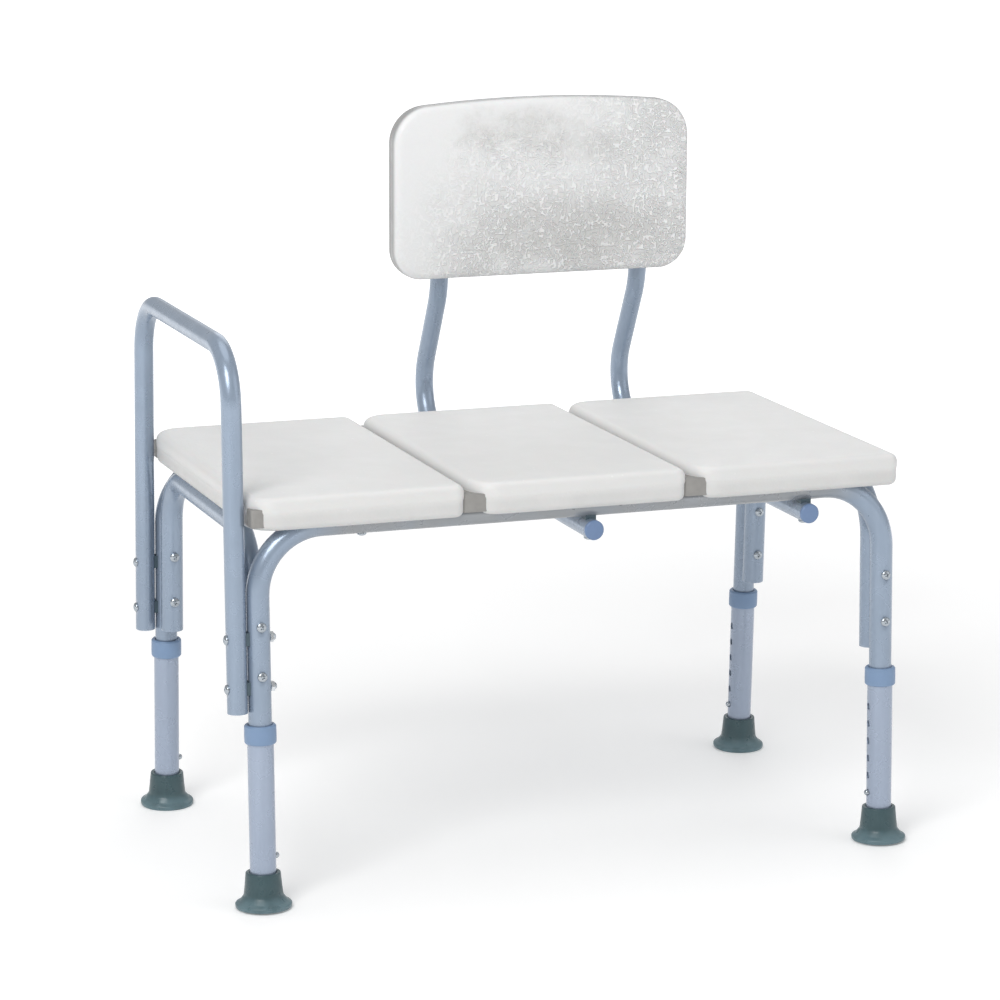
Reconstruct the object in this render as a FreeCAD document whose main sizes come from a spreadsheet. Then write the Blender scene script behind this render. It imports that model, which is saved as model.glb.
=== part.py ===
import FreeCAD, Part
import os
import math
import Sketcher
from FreeCAD import Vector, Rotation, Placement

# Bath transfer bench. X runs along the bench, with the armrest at -X.
# +Y points to the backrest and +Z is up. Pieces are laid out from the middle of the
# four legs on the floor, then carried so that the origin is under the whole bench's middle.

doc = FreeCAD.newDocument("TransferBench")
sheet = doc.addObject("Spreadsheet::Sheet", "Sizes")

# ------------------------------------------------------------ sizes, mm and degrees
SIZES = [
    ("frame_tube_od", 25.4), ("frame_tube_wall", 1.5),
    ("sleeve_od", 28.6), ("sleeve_wall", 1.2),
    ("arm_tube_od", 22.2), ("arm_tube_wall", 1.5),
    ("back_tube_od", 22.2), ("back_tube_wall", 1.5),
    ("leg_spread", 367.0), ("leg_foot_spread", 200.5), ("splay", 2.15),
    ("bar_height", 415.3), ("long_bend", 72.0),
    ("side_bar_height", 406.0), ("side_bend", 60.0), ("side_leg_end", 220.5),
    ("leg_tube_end", 47.0),
    ("saddle_gap", 1.0), ("back_saddle_gap", 1.8),
    ("arm_height", 607.0), ("arm_bend", 60.0), ("arm_leg_end", 217.0),
    ("corner_bolt_high", 311.0), ("corner_bolt_low", 257.0),
    ("arm_bolt_high", 297.7), ("arm_bolt_low", 243.7),
    ("sleeve_bottom", 9.0), ("collar_bottom", 182.4), ("collar_height", 20.6),
    ("collar_od", 34.6), ("collar_lip", 2.5), ("collar_edge", 1.8),
    ("hole_first", 56.3), ("hole_step", 20.2), ("hole_count", 6), ("hole_dia", 7.8),
    ("slide_gap", 0.35), ("push_gap", 0.05),
    ("foot_height", 39.4), ("foot_flange_dia", 62.0), ("foot_neck_dia", 41.5),
    ("foot_top_dia", 38.0), ("foot_flange_height", 5.0), ("foot_flare_height", 17.0),
    ("foot_flare_bend", 14.0),
    ("button_dia", 7.0), ("button_stand", 4.2), ("button_dome", 3.0),
    ("button_flange_dia", 10.0), ("button_flange_thick", 1.0), ("button_flange_set", 1.5),
    ("leaf_thick", 0.6), ("leaf_width", 7.0), ("leaf_length", 42.0), ("leaf_gap", 0.3),
    ("bolt_dia", 6.0), ("bolt_hole_dia", 6.6), ("bolt_head_dia", 11.0),
    ("bolt_head_height", 3.6), ("bolt_head_rim", 0.8),
    ("nut_flats", 10.0), ("nut_height", 5.0), ("bolt_tail", 2.0), ("thread_gap", 0.05),
    ("panel_pitch", 258.0), ("panel_joint", 8.0), ("panel_depth", 414.0),
    ("panel_thick", 36.0), ("panel_bottom", 415.3), ("panel_corner_left", 34.0),
    ("panel_corner_right", 12.0),
    ("panel_edge", 8.0), ("panel_lower_edge", 6.0), ("seat_shift", -4.3),
    ("end_trim", 7.8), ("end_tongue_in", 2.5), ("seat_screw_shift", 12.8),
    ("channel_gap", 0.3),
    ("tongue_out", 10.0), ("tongue_height", 20.0), ("tongue_setback", 6.0),
    ("tongue_root", 20.0),
    ("tongue_lift", 4.0), ("groove_gap", 0.8),
    ("screw_depth", 12.0),
    ("back_tube_mid", 141.0), ("back_tube_spacing", 258.0), ("back_tube_front", 200.0),
    ("back_lean", 27.9), ("back_lean_foot", 414.0), ("back_upright", 315.0),
    ("back_low_bend", 65.0), ("back_high_bend", 90.0), ("back_tube_top", 768.0),
    ("plug_rim", 4.0), ("plug_stem", 9.0), ("plug_edge", 1.2),
    ("back_mid", 135.5), ("back_width", 379.0), ("back_bottom", 593.0), ("back_shoulder", 797.0),
    ("back_peak", 808.0), ("back_thick", 30.0), ("back_corner", 36.0), ("back_top_corner", 46.0),
    ("back_edge", 8.0),
    ("back_rear_edge", 4.0),
    ("back_screw_low", 632.0), ("back_screw_high", 742.0), ("back_screw_depth", 12.0),
    ("saddle_length", 14.0), ("saddle_width", 12.0),
]
for row, (alias, value) in enumerate(SIZES, start=1):
    sheet.set("A%d" % row, alias)
    sheet.set("B%d" % row, str(value))
    sheet.setAlias("B%d" % row, alias)
doc.recompute()


class Size:
    """A length or angle: its value now, and the sheet expression it follows."""

    def __init__(self, value, text):
        self.value = float(value)
        self.text = text

    def __add__(self, other):
        other = size_of(other)
        return Size(self.value + other.value, "(%s + %s)" % (self.text, other.text))

    def __sub__(self, other):
        other = size_of(other)
        return Size(self.value - other.value, "(%s - %s)" % (self.text, other.text))

    def __mul__(self, other):
        other = size_of(other)
        return Size(self.value * other.value, "(%s * %s)" % (self.text, other.text))

    def __truediv__(self, other):
        other = size_of(other)
        return Size(self.value / other.value, "(%s / %s)" % (self.text, other.text))

    def __neg__(self):
        return Size(-self.value, "(0 - %s)" % self.text)

    __radd__ = __add__
    __rmul__ = __mul__

    def __rsub__(self, other):
        return size_of(other) - self


def size_of(thing):
    if isinstance(thing, Size):
        return thing
    return Size(thing, "%r" % float(thing))


def named(alias):
    return Size(float(getattr(sheet, alias)), "Sizes.%s" % alias)


def sine(angle):
    return Size(math.sin(math.radians(angle.value)), "sin(%s * 1 deg)" % angle.text)


def cosine(angle):
    return Size(math.cos(math.radians(angle.value)), "cos(%s * 1 deg)" % angle.text)


def tangent(angle):
    return Size(math.tan(math.radians(angle.value)), "tan(%s * 1 deg)" % angle.text)


frame_r = named("frame_tube_od") / 2
sleeve_r = named("sleeve_od") / 2
arm_r = named("arm_tube_od") / 2
back_r = named("back_tube_od") / 2
leg_spread = named("leg_spread")
foot_spread = named("leg_foot_spread")
splay = named("splay")
bar_height = named("bar_height")
saddle_gap = named("saddle_gap")
bolt_r = named("bolt_dia") / 2
head_height = named("bolt_head_height")
arm_spread = leg_spread + frame_r + saddle_gap + arm_r
side_inset = 2 * frame_r + saddle_gap
back_tube_height = bar_height - frame_r - named("back_saddle_gap") - back_r
zero = size_of(0)

# Furthest reach each way: armrest bolt heads, foot flanges and the back tubes' low bends.
low_bend = named("back_low_bend")
reach_left = arm_spread + arm_r + head_height
reach_right = leg_spread + named("foot_flange_dia") / 2
reach_front = foot_spread + named("foot_flange_dia") / 2
bend_start = named("back_lean_foot") - low_bend * tangent((90 + named("back_lean")) / 2)
reach_rear = bend_start + low_bend + back_r
middle_x = (reach_right - reach_left) / 2
middle_y = (reach_rear - reach_front) / 2

SIDES = [("left", -1), ("right", 1)]
ENDS = [("front", -1), ("rear", 1)]
LEGS = [("%s_%s" % (end, side), sx, sy) for end, sy in ENDS for side, sx in SIDES]
LEVELS = ["high", "low"]


# ------------------------------------------------------------ placing
def bind(thing, prop, dim):
    thing.setExpression(prop, dim.text)


spots = {}


def place(thing, at, rotation=None):
    """Put an object at a point whose three coordinates follow the sheet."""
    turn = rotation if rotation is not None else Rotation()
    point = [size_of(c) for c in at]
    spots[thing.Name] = (point, turn)
    thing.Placement = Placement(Vector(*[c.value for c in point]), turn)
    for axis, dim in zip("xyz", point):
        bind(thing, "Placement.Base.%s" % axis, dim)
    return thing


def carry(thing):
    """Move a finished piece from the legs' middle to the whole bench's middle."""
    point, turn = spots.get(thing.Name, ([zero, zero, zero], Rotation()))
    return place(thing, (point[0] - middle_x, point[1] - middle_y, point[2]), turn)


def along(direction):
    return Rotation(Vector(0, 0, 1), Vector(*direction))


def leg_point(sx, sy, across, outward, up):
    """World point from a leg's own axes: X, away from the seat, and up the leg."""
    x = sx * leg_spread + across
    y = sy * (foot_spread + outward * cosine(splay) - up * sine(splay))
    z = outward * sine(splay) + up * cosine(splay)
    return (x, y, z)


def leg_turn(sy, inner=None):
    tilt = Rotation(Vector(1, 0, 0), sy * splay.value)
    return tilt.multiply(inner) if inner is not None else tilt


def leg_line(height):
    """Distance of a leg's axis from mid-depth at a height above the floor."""
    return foot_spread - height * tangent(splay)


# ------------------------------------------------------------ sketches
def new_body(name):
    return doc.addObject("PartDesign::Body", name)


def plane_of(body, plane):
    for feature in body.Origin.OriginFeatures:
        if feature.Name.startswith(plane) or feature.Label.startswith(plane):
            return feature
    return None


def new_sketch(body, plane, offset=None, turn=None):
    sketch = body.newObject("Sketcher::SketchObject", body.Name + "_sketch")
    sketch.AttachmentSupport = [(plane_of(body, plane), "")]
    sketch.MapMode = "FlatFace"
    base = [size_of(c) for c in (offset or (0, 0, 0))]
    sketch.AttachmentOffset = Placement(Vector(*[c.value for c in base]), turn or Rotation())
    if offset is not None:
        for axis, dim in zip("xyz", base):
            bind(sketch, "AttachmentOffset.Base.%s" % axis, dim)
    return sketch


def pin_point(sketch, geo, pos, point):
    """Hold a sketch point at two coordinates that follow the sheet."""
    for kind, axis, dim in (("DistanceX", -2, point[0]), ("DistanceY", -1, point[1])):
        dim = size_of(dim)
        if abs(dim.value) < 1e-9:
            sketch.addConstraint(Sketcher.Constraint("PointOnObject", geo, pos, axis))
        else:
            index = sketch.addConstraint(Sketcher.Constraint(kind, -1, 1, geo, pos, dim.value))
            bind(sketch, "Constraints[%d]" % index, dim)


def ring(sketch, outer, inner=None):
    for radius in (outer, inner):
        if radius is not None:
            geo = sketch.addGeometry(Part.Circle(Vector(0, 0, 0), Vector(0, 0, 1), radius.value))
            sketch.addConstraint(Sketcher.Constraint("Coincident", geo, 3, -1, 1))
            index = sketch.addConstraint(Sketcher.Constraint("Radius", geo, radius.value))
            bind(sketch, "Constraints[%d]" % index, radius)


def arc_through(p, q, radius, side):
    """Arc from p to q, centre on the left (side 1) or right (side -1) of the way."""
    chord = q.sub(p)
    left = Vector(-chord.y, chord.x, 0).normalize()
    reach = math.sqrt(max(radius ** 2 - (chord.Length / 2) ** 2, 0.0))
    centre = p.add(chord.multiply(0.5)).add(left.multiply(side * reach))
    first, last = (p, q) if side > 0 else (q, p)
    start = math.atan2(first.y - centre.y, first.x - centre.x)
    finish = math.atan2(last.y - centre.y, last.x - centre.x)
    circle = Part.Circle(centre, Vector(0, 0, 1), radius)
    return Part.ArcOfCircle(circle, start, finish)


def outline(sketch, points, arcs=None):
    """Closed outline through points; arcs maps a side's number to (radius, side)."""
    arcs = arcs or {}
    flat = [(size_of(u), size_of(v)) for u, v in points]
    spots = [Vector(u.value, v.value, 0) for u, v in flat]
    ends = []
    for number, start in enumerate(spots):
        finish = spots[(number + 1) % len(spots)]
        if number in arcs:
            radius, side = arcs[number]
            geo = sketch.addGeometry(arc_through(start, finish, radius.value, side))
            ends.append((geo, 1, 2) if side > 0 else (geo, 2, 1))
        else:
            geo = sketch.addGeometry(Part.LineSegment(start, finish))
            ends.append((geo, 1, 2))
    for number, (geo, first, last) in enumerate(ends):
        following = ends[(number + 1) % len(ends)]
        join = Sketcher.Constraint("Coincident", geo, last, following[0], following[1])
        sketch.addConstraint(join)
        pin_point(sketch, geo, first, flat[number])
    for number, (radius, side) in arcs.items():
        index = sketch.addConstraint(Sketcher.Constraint("Radius", ends[number][0], radius.value))
        bind(sketch, "Constraints[%d]" % index, radius)


def bent_path(sketch, points, bends):
    """Open centre line through corner points, each inner corner with its bend radius."""
    flat = [(size_of(u), size_of(v)) for u, v in points]
    spots = [Vector(u.value, v.value, 0) for u, v in flat]
    cuts = [spots[0]]
    rounds = []
    for number, bend in enumerate(bends, start=1):
        back = spots[number - 1].sub(spots[number]).normalize()
        ahead = spots[number + 1].sub(spots[number]).normalize()
        half = back.getAngle(ahead) / 2
        reach = bend.value / math.tan(half)
        enter = spots[number].add(Vector(back).multiply(reach))
        leave = spots[number].add(Vector(ahead).multiply(reach))
        side = 1 if back.cross(ahead).z < 0 else -1
        rounds.append((enter, leave, bend, side))
        cuts += [enter, leave]
    cuts.append(spots[-1])
    lines = []
    turns = []
    for number in range(len(bends) + 1):
        lines.append(sketch.addGeometry(Part.LineSegment(cuts[2 * number], cuts[2 * number + 1])))
        if number < len(bends):
            enter, leave, bend, side = rounds[number]
            geo = sketch.addGeometry(arc_through(enter, leave, bend.value, side))
            turns.append((geo, 1, 2) if side > 0 else (geo, 2, 1))
    for number, (geo, first, last) in enumerate(turns):
        corner = sketch.addGeometry(Part.Point(spots[number + 1]), True)
        pin_point(sketch, corner, 1, flat[number + 1])
        sketch.addConstraint(Sketcher.Constraint("Tangent", lines[number], 2, geo, first))
        sketch.addConstraint(Sketcher.Constraint("Tangent", geo, last, lines[number + 1], 1))
        sketch.addConstraint(Sketcher.Constraint("PointOnObject", corner, 1, lines[number]))
        sketch.addConstraint(Sketcher.Constraint("PointOnObject", corner, 1, lines[number + 1]))
        index = sketch.addConstraint(Sketcher.Constraint("Radius", geo, bends[number].value))
        bind(sketch, "Constraints[%d]" % index, bends[number])
    pin_point(sketch, lines[0], 1, flat[0])
    pin_point(sketch, lines[-1], 2, flat[-1])


# ------------------------------------------------------------ solids
def pipe(name, path_plane, points, bends, ring_plane, ring_at, ring_turn, outer, wall):
    """Bent tube: a ring swept along a centre line with bends."""
    body = new_body(name)
    path = new_sketch(body, path_plane)
    bent_path(path, points, bends)
    section = new_sketch(body, ring_plane, ring_at, ring_turn)
    ring(section, outer, outer - wall)
    sweep = body.newObject("PartDesign::AdditivePipe", name + "_pipe")
    sweep.Profile = section
    sweep.Spine = (path, [])
    path.Visibility = False
    return body


def turned(name, points, arcs=None):
    """Solid of revolution about its own Z axis."""
    body = new_body(name)
    sketch = new_sketch(body, "XZ_Plane")
    outline(sketch, points, arcs)
    spin = body.newObject("PartDesign::Revolution", name + "_turned")
    spin.Profile = sketch
    spin.ReferenceAxis = (sketch, ["V_Axis"])
    spin.Angle = 360
    return body


def rod(name, radius, length, at, direction, back=zero):
    """Straight round rod from a point along a direction, started a little back."""
    cylinder = doc.addObject("Part::Cylinder", name)
    bind(cylinder, "Radius", size_of(radius))
    bind(cylinder, "Height", size_of(length))
    way = Vector(*direction).normalize()
    start = [size_of(c) - back * w for c, w in zip(at, way)]
    return place(cylinder, start, along(way))


def block(name, low, high):
    box = doc.addObject("Part::Box", name)
    for prop, a, b in zip(("Length", "Width", "Height"), low, high):
        bind(box, prop, size_of(b) - size_of(a))
    return place(box, low)


def group(label, members):
    bundle = doc.addObject("Part::Compound", label)
    bundle.Links = members
    bundle.Label = label
    return bundle


def cut(label, base, tools):
    drill = tools[0]
    if len(tools) > 1:
        drill = doc.addObject("Part::MultiFuse", label + "_tool")
        drill.Shapes = tools
    result = doc.addObject("Part::Cut", label)
    result.Base = base
    result.Tool = drill
    result.Label = label
    return result


def arc_radius(half_chord, rise):
    return (half_chord * half_chord + rise * rise) / (2 * rise)


def bolt(name, grip, at, turn):
    """Dome-headed bolt: the head sits at the point, the shank runs along its own Z."""
    head_r = named("bolt_head_dia") / 2
    rim = named("bolt_head_rim")
    dome = head_height - rim
    points = [(0, -head_height), (head_r, -rim), (head_r, 0),
              (bolt_r, 0), (bolt_r, grip), (0, grip)]
    body = turned(name, points, {0: (arc_radius(head_r, dome), 1)})
    return place(body, at, turn)


def nut(name, at, turn):
    """Hexagon nut with a plain bore just clear of the bolt."""
    body = new_body(name)
    sketch = new_sketch(body, "XY_Plane")
    half = named("nut_flats") / 2
    tip = named("nut_flats") / math.sqrt(3)
    corners = [(tip, 0), (tip / 2, half), (-tip / 2, half),
               (-tip, 0), (-tip / 2, -half), (tip / 2, -half)]
    outline(sketch, corners)
    ring(sketch, bolt_r + named("thread_gap"))
    pad = body.newObject("PartDesign::Pad", name + "_pad")
    pad.Profile = sketch
    bind(pad, "Length", named("nut_height"))
    return place(body, at, turn)


def saddle(name, at, turn, gap, radius_a, radius_b, crossed=False):
    """Spacer between two tubes, hollowed to seat on both. Z runs from tube a to tube b."""
    rise = size_of(2.2)
    length = named("saddle_length") / 2
    width = named("saddle_width") / 2
    top = gap / 2 + rise
    body = block(name + "_block", (-length, -width, -top), (length, width, top))
    long_way = named("saddle_length") * 2
    slack = named("push_gap")
    across = (0, 1, 0) if crossed else (1, 0, 0)
    start = -long_way / 2
    seat_a = (start, 0, -gap / 2 - radius_a)
    seat_b = (0, start, gap / 2 + radius_b) if crossed else (start, 0, gap / 2 + radius_b)
    tube_a = rod(name + "_a", radius_a + slack, long_way, seat_a, (1, 0, 0))
    tube_b = rod(name + "_b", radius_b + slack, long_way, seat_b, across)
    bolt_way = rod(name + "_c", bolt_r + named("slide_gap"), long_way, (0, 0, start), (0, 0, 1))
    return place(cut(name, body, [tube_a, tube_b, bolt_way]), at, turn)


# ------------------------------------------------------------ long frames
def long_frame(end, sy):
    wall = named("frame_tube_wall")
    top = bar_height / cosine(splay)
    low = named("leg_tube_end")
    bend = named("long_bend")
    points = [(-leg_spread, low), (-leg_spread, top), (leg_spread, top), (leg_spread, low)]
    label = "long_frame_%s" % end
    tube = pipe(label + "_tube", "XZ_Plane", points, [bend, bend],
                "XY_Plane", (-leg_spread, 0, low), None, frame_r, wall)
    hole = named("bolt_hole_dia") / 2
    clear = frame_r + 2
    tools = []
    for side, sx in SIDES:
        for level in LEVELS:
            at = (sx * leg_spread, 0, named("corner_bolt_%s" % level))
            tag = "%s_corner_%s_%s" % (label, side, level)
            tools.append(rod(tag, hole, 2 * clear, at, (0, 1, 0), clear))
        button = (sx * leg_spread, 0, named("hole_first"))
        wall_hole = named("button_dia") / 2 + named("slide_gap")
        way = (-sx, 0, 0)
        tools.append(rod("%s_button_%s" % (label, side), wall_hole, clear, button, way))
    for level in LEVELS:
        at = (-leg_spread, 0, named("arm_bolt_%s" % level))
        tools.append(rod("%s_arm_%s" % (label, level), hole, 2 * clear, at, (1, 0, 0), clear))
    for number, x in enumerate(seat_bolt_places()):
        plumb = Rotation(Vector(1, 0, 0), -sy * splay.value).multVec(Vector(0, 0, 1))
        tag = "%s_seat_%d" % (label, number)
        tools.append(rod(tag, hole, 2 * clear, (x, 0, top), plumb, clear))
    node = cut(label, tube, tools)
    return place(node, (0, sy * foot_spread, 0), Rotation(Vector(1, 0, 0), sy * splay.value))


def panel_middle(number):
    return named("seat_shift") + (number - 1) * named("panel_pitch")


def back_tube_x(sx):
    return named("back_tube_mid") + sx * named("back_tube_spacing") / 2


def seat_bolt_places():
    return [panel_middle(0) + named("seat_screw_shift"), back_tube_x(-1), back_tube_x(1)]


# ------------------------------------------------------------ side frames
def side_frame(side, sx):
    wall = named("frame_tube_wall")
    top = named("side_bar_height")
    end = named("side_leg_end")
    bend = named("side_bend")
    inset = side_inset / cosine(splay)
    reach_top = leg_line(top) - inset
    reach_end = leg_line(end) - inset
    points = [(-reach_end, end), (-reach_top, top), (reach_top, top), (reach_end, end)]
    label = "side_frame_%s" % side
    tube = pipe(label + "_tube", "YZ_Plane", points, [bend, bend],
                "XY_Plane", (0, -reach_end, end), Rotation(Vector(1, 0, 0), -splay.value),
                frame_r, wall)
    hole = named("bolt_hole_dia") / 2
    clear = frame_r + 2
    tools = []
    for place_name, sy in ENDS:
        for level in LEVELS:
            at = leg_point(sx, sy, zero, -side_inset, named("corner_bolt_%s" % level))
            at = (at[0] - sx * leg_spread, at[1], at[2])
            way = leg_turn(sy).multVec(Vector(0, 1, 0))
            tag = "%s_%s_%s" % (label, place_name, level)
            tools.append(rod(tag, hole, 2 * clear, at, way, clear))
    node = cut(label, tube, tools)
    return place(node, (sx * leg_spread, 0, 0))


# ------------------------------------------------------------ armrest
def armrest():
    top = named("arm_height")
    end = named("arm_leg_end")
    bend = named("arm_bend")
    near = leg_line(end)
    far = leg_line(top)
    points = [(-near, end), (-far, top), (far, top), (near, end)]
    tube = pipe("armrest_tube_bent", "YZ_Plane", points, [bend, bend],
                "XY_Plane", (0, -near, end), Rotation(Vector(1, 0, 0), -splay.value),
                arm_r, named("arm_tube_wall"))
    hole = named("bolt_hole_dia") / 2
    clear = arm_r + 2
    tools = []
    for end_name, sy in ENDS:
        for level in LEVELS:
            at = leg_point(-1, sy, zero, zero, named("arm_bolt_%s" % level))
            at = (zero, at[1], at[2])
            tag = "armrest_%s_%s" % (end_name, level)
            tools.append(rod(tag, hole, 2 * clear, at, (1, 0, 0), clear))
    return place(cut("armrest_tube", tube, tools), (-arm_spread, 0, 0))


# ------------------------------------------------------------ telescoping feet
def leg_sleeve(name, sx, sy):
    bore = sleeve_r - named("sleeve_wall")
    low = named("sleeve_bottom")
    top = named("collar_bottom") + named("collar_height") - named("collar_lip")
    points = [(bore, low), (sleeve_r, low), (sleeve_r, top), (bore, top)]
    body = turned("leg_sleeve_%s_tube" % name, points)
    holes = []
    for number in range(int(named("hole_count").value)):
        at = (0, 0, named("hole_first") + number * named("hole_step"))
        holes.append(rod("leg_sleeve_%s_hole_%d" % (name, number), named("hole_dia") / 2,
                         sleeve_r + 2, at, (-sx, 0, 0)))
    node = cut("leg_sleeve_%s" % name, body, holes)
    return place(node, leg_point(sx, sy, zero, zero, zero), leg_turn(sy))


def leg_collar(name, sx, sy):
    low = named("collar_bottom")
    top = low + named("collar_height")
    seat = top - named("collar_lip")
    outer = named("collar_od") / 2
    edge = named("collar_edge")
    slim = outer - edge
    sleeve_side = sleeve_r + named("push_gap")
    tube_side = frame_r + named("slide_gap")
    points = [(sleeve_side, low), (slim, low), (outer, low + edge), (outer, top - edge),
              (slim, top), (tube_side, top), (tube_side, seat + named("push_gap")),
              (sleeve_side, seat + named("push_gap"))]
    body = turned("leg_collar_%s" % name, points, {1: (edge, 1), 3: (edge, 1)})
    return place(body, leg_point(sx, sy, zero, zero, zero), leg_turn(sy))


def rubber_foot(name, sx, sy):
    flange = named("foot_flange_dia") / 2
    neck = named("foot_neck_dia") / 2
    crown = named("foot_top_dia") / 2
    bore = sleeve_r + named("push_gap")
    seat = named("sleeve_bottom") - named("push_gap")
    rim = named("foot_flange_height")
    flare = named("foot_flare_height")
    top = named("foot_height")
    under = size_of(-4)
    points = [(0, under), (flange, under), (flange, rim), (neck, flare), (crown, top),
              (bore, top), (bore, seat), (0, seat)]
    body = turned("rubber_foot_%s_turned" % name, points, {2: (named("foot_flare_bend"), -1)})
    place(body, leg_point(sx, sy, zero, zero, zero), leg_turn(sy))
    wide = named("foot_flange_dia")
    middle = (sx * leg_spread, sy * foot_spread, zero)
    floor = block("rubber_foot_%s_floor" % name, (middle[0] - wide, middle[1] - wide, -wide),
                  (middle[0] + wide, middle[1] + wide, zero))
    return cut("rubber_foot_%s" % name, body, [floor])


def button_turn(sx, sy):
    return leg_turn(sy, Rotation(Vector(0, 0, 1), Vector(-sx, 0, 0)))


def snap_button(name, sx, sy):
    shank = named("button_dia") / 2
    tip = sleeve_r + named("button_stand")
    dome = named("button_dome")
    flange = named("button_flange_dia") / 2
    face = frame_r - named("frame_tube_wall") - named("button_flange_set")
    back = face - named("button_flange_thick")
    points = [(0, back), (flange, back), (flange, face), (shank, face), (shank, tip - dome), (0, tip)]
    body = turned("snap_button_%s" % name, points, {4: (arc_radius(shank, dome), 1)})
    at = leg_point(sx, sy, zero, zero, named("hole_first"))
    return place(body, at, button_turn(sx, sy))


def button_spring(name, sx, sy):
    """Folded leaf: one arm behind the button, the other on the far wall of the tube."""
    thick = named("leaf_thick")
    bore = frame_r - named("frame_tube_wall")
    back = bore - named("button_flange_set") - named("button_flange_thick")
    near = back - named("leaf_gap") - thick / 2
    far = -(bore - named("button_flange_set") + thick / 2)
    low = size_of(-7)
    knee = size_of(6)
    tip = named("leaf_length")
    fold = 2 * size_of(1)
    points = [(near, low), (near, knee), (fold, tip), (-fold, tip), (far, knee), (far, low)]
    label = "button_spring_%s" % name
    body = new_body(label)
    path = new_sketch(body, "XZ_Plane")
    bent_path(path, points, [size_of(4), size_of(1.6), size_of(1.6), size_of(4)])
    section = new_sketch(body, "XY_Plane", (near, 0, low))
    half_t = thick / 2
    half_w = named("leaf_width") / 2
    outline(section, [(-half_t, -half_w), (half_t, -half_w), (half_t, half_w), (-half_t, half_w)])
    sweep = body.newObject("PartDesign::AdditivePipe", label + "_pipe")
    sweep.Profile = section
    sweep.Spine = (path, [])
    turn = leg_turn(sy, Rotation(Vector(0, 0, 1), 0 if sx < 0 else 180))
    return place(body, leg_point(sx, sy, zero, zero, named("hole_first")), turn)


# ------------------------------------------------------------ seat
def edges_at(shape, axis, level):
    """Names of the edges whose ends all lie at one level along an axis."""
    names = []
    for number, edge in enumerate(shape.Edges, start=1):
        box = edge.BoundBox
        low = getattr(box, axis + "Min")
        high = getattr(box, axis + "Max")
        if abs(low - level) < 1e-4 and abs(high - level) < 1e-4:
            names.append("Edge%d" % number)
    return names


def soften(body, name, axis, level, radius):
    base = body.Tip
    fillet = body.newObject("PartDesign::Fillet", name)
    fillet.Base = (base, edges_at(base.Shape, axis, level))
    fillet.Radius = radius.value
    bind(fillet, "Radius", radius)
    doc.recompute()


def rounded_corners(width, depth, left, right):
    """Corner points and arcs of a centred rectangle, its two ends rounded differently."""
    x = width / 2
    y = depth / 2
    points = [(x - right, -y), (x, -y + right), (x, y - right), (x - right, y),
              (-x + left, y), (-x, y - left), (-x, -y + left), (-x + left, -y)]
    arcs = {0: (right, 1), 2: (right, 1), 4: (left, 1), 6: (left, 1)}
    return points, arcs


def seat_panel(number, label):
    trim = named("end_trim") if number == 0 else zero
    width = named("panel_pitch") - named("panel_joint") - trim
    depth = named("panel_depth")
    thick = named("panel_thick")
    bottom = named("panel_bottom")
    middle = panel_middle(number) + trim / 2
    body = new_body(label + "_slab")
    sketch = new_sketch(body, "XY_Plane")
    points, arcs = rounded_corners(width, depth, named("panel_corner_left"),
                                   named("panel_corner_right"))
    outline(sketch, points, arcs)
    pad = body.newObject("PartDesign::Pad", label + "_pad")
    pad.Profile = sketch
    bind(pad, "Length", thick)
    doc.recompute()
    soften(body, label + "_top_edge", "Z", thick.value, named("panel_edge"))
    soften(body, label + "_lower_edge", "Z", 0.0, named("panel_lower_edge"))
    tongue_reach = depth / 2 - named("tongue_setback")
    lift = named("tongue_lift")
    tall = named("tongue_height")
    edge = width / 2
    tip = named("end_tongue_in") - edge if number == 0 else -edge - named("tongue_out")
    joined = doc.addObject("Part::Fuse", label + "_body")
    joined.Base = body
    joined.Tool = block(label + "_tongue", (tip, -tongue_reach, lift),
                        (-edge + named("tongue_root"), tongue_reach, lift + tall))
    gap = named("groove_gap")
    way = 2 * width
    mouth = edge - named("tongue_out") + named("panel_joint") - gap
    tools = [block(label + "_groove", (mouth, -tongue_reach - gap, lift - gap),
                   (edge + gap, tongue_reach + gap, lift + tall + gap))]
    channel = frame_r + named("channel_gap")
    for end, sy in ENDS:
        at = (-way / 2, sy * leg_line(bar_height), bar_height - bottom)
        tools.append(rod("%s_channel_%s" % (label, end), channel, way, at, (1, 0, 0)))
    for side, sx in SIDES:
        if (number, sx) in ((0, -1), (2, 1)):
            deep = 2 * depth
            at = (sx * leg_spread - middle, -deep / 2, named("side_bar_height") - bottom)
            tools.append(rod("%s_channel_%s" % (label, side), channel, deep, at, (0, 1, 0)))
    screw = bolt_r + named("thread_gap")
    roof = bar_height - bottom + frame_r
    for end, sy in ENDS:
        x = seat_bolt_places()[number] - middle
        at = (x, sy * leg_line(bar_height), roof - 2)
        reach = named("screw_depth") + 2.5
        tools.append(rod("%s_screw_%s" % (label, end), screw, reach, at, (0, 0, 1)))
    node = cut(label, joined, tools)
    return place(node, (middle, 0, bottom))


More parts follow.
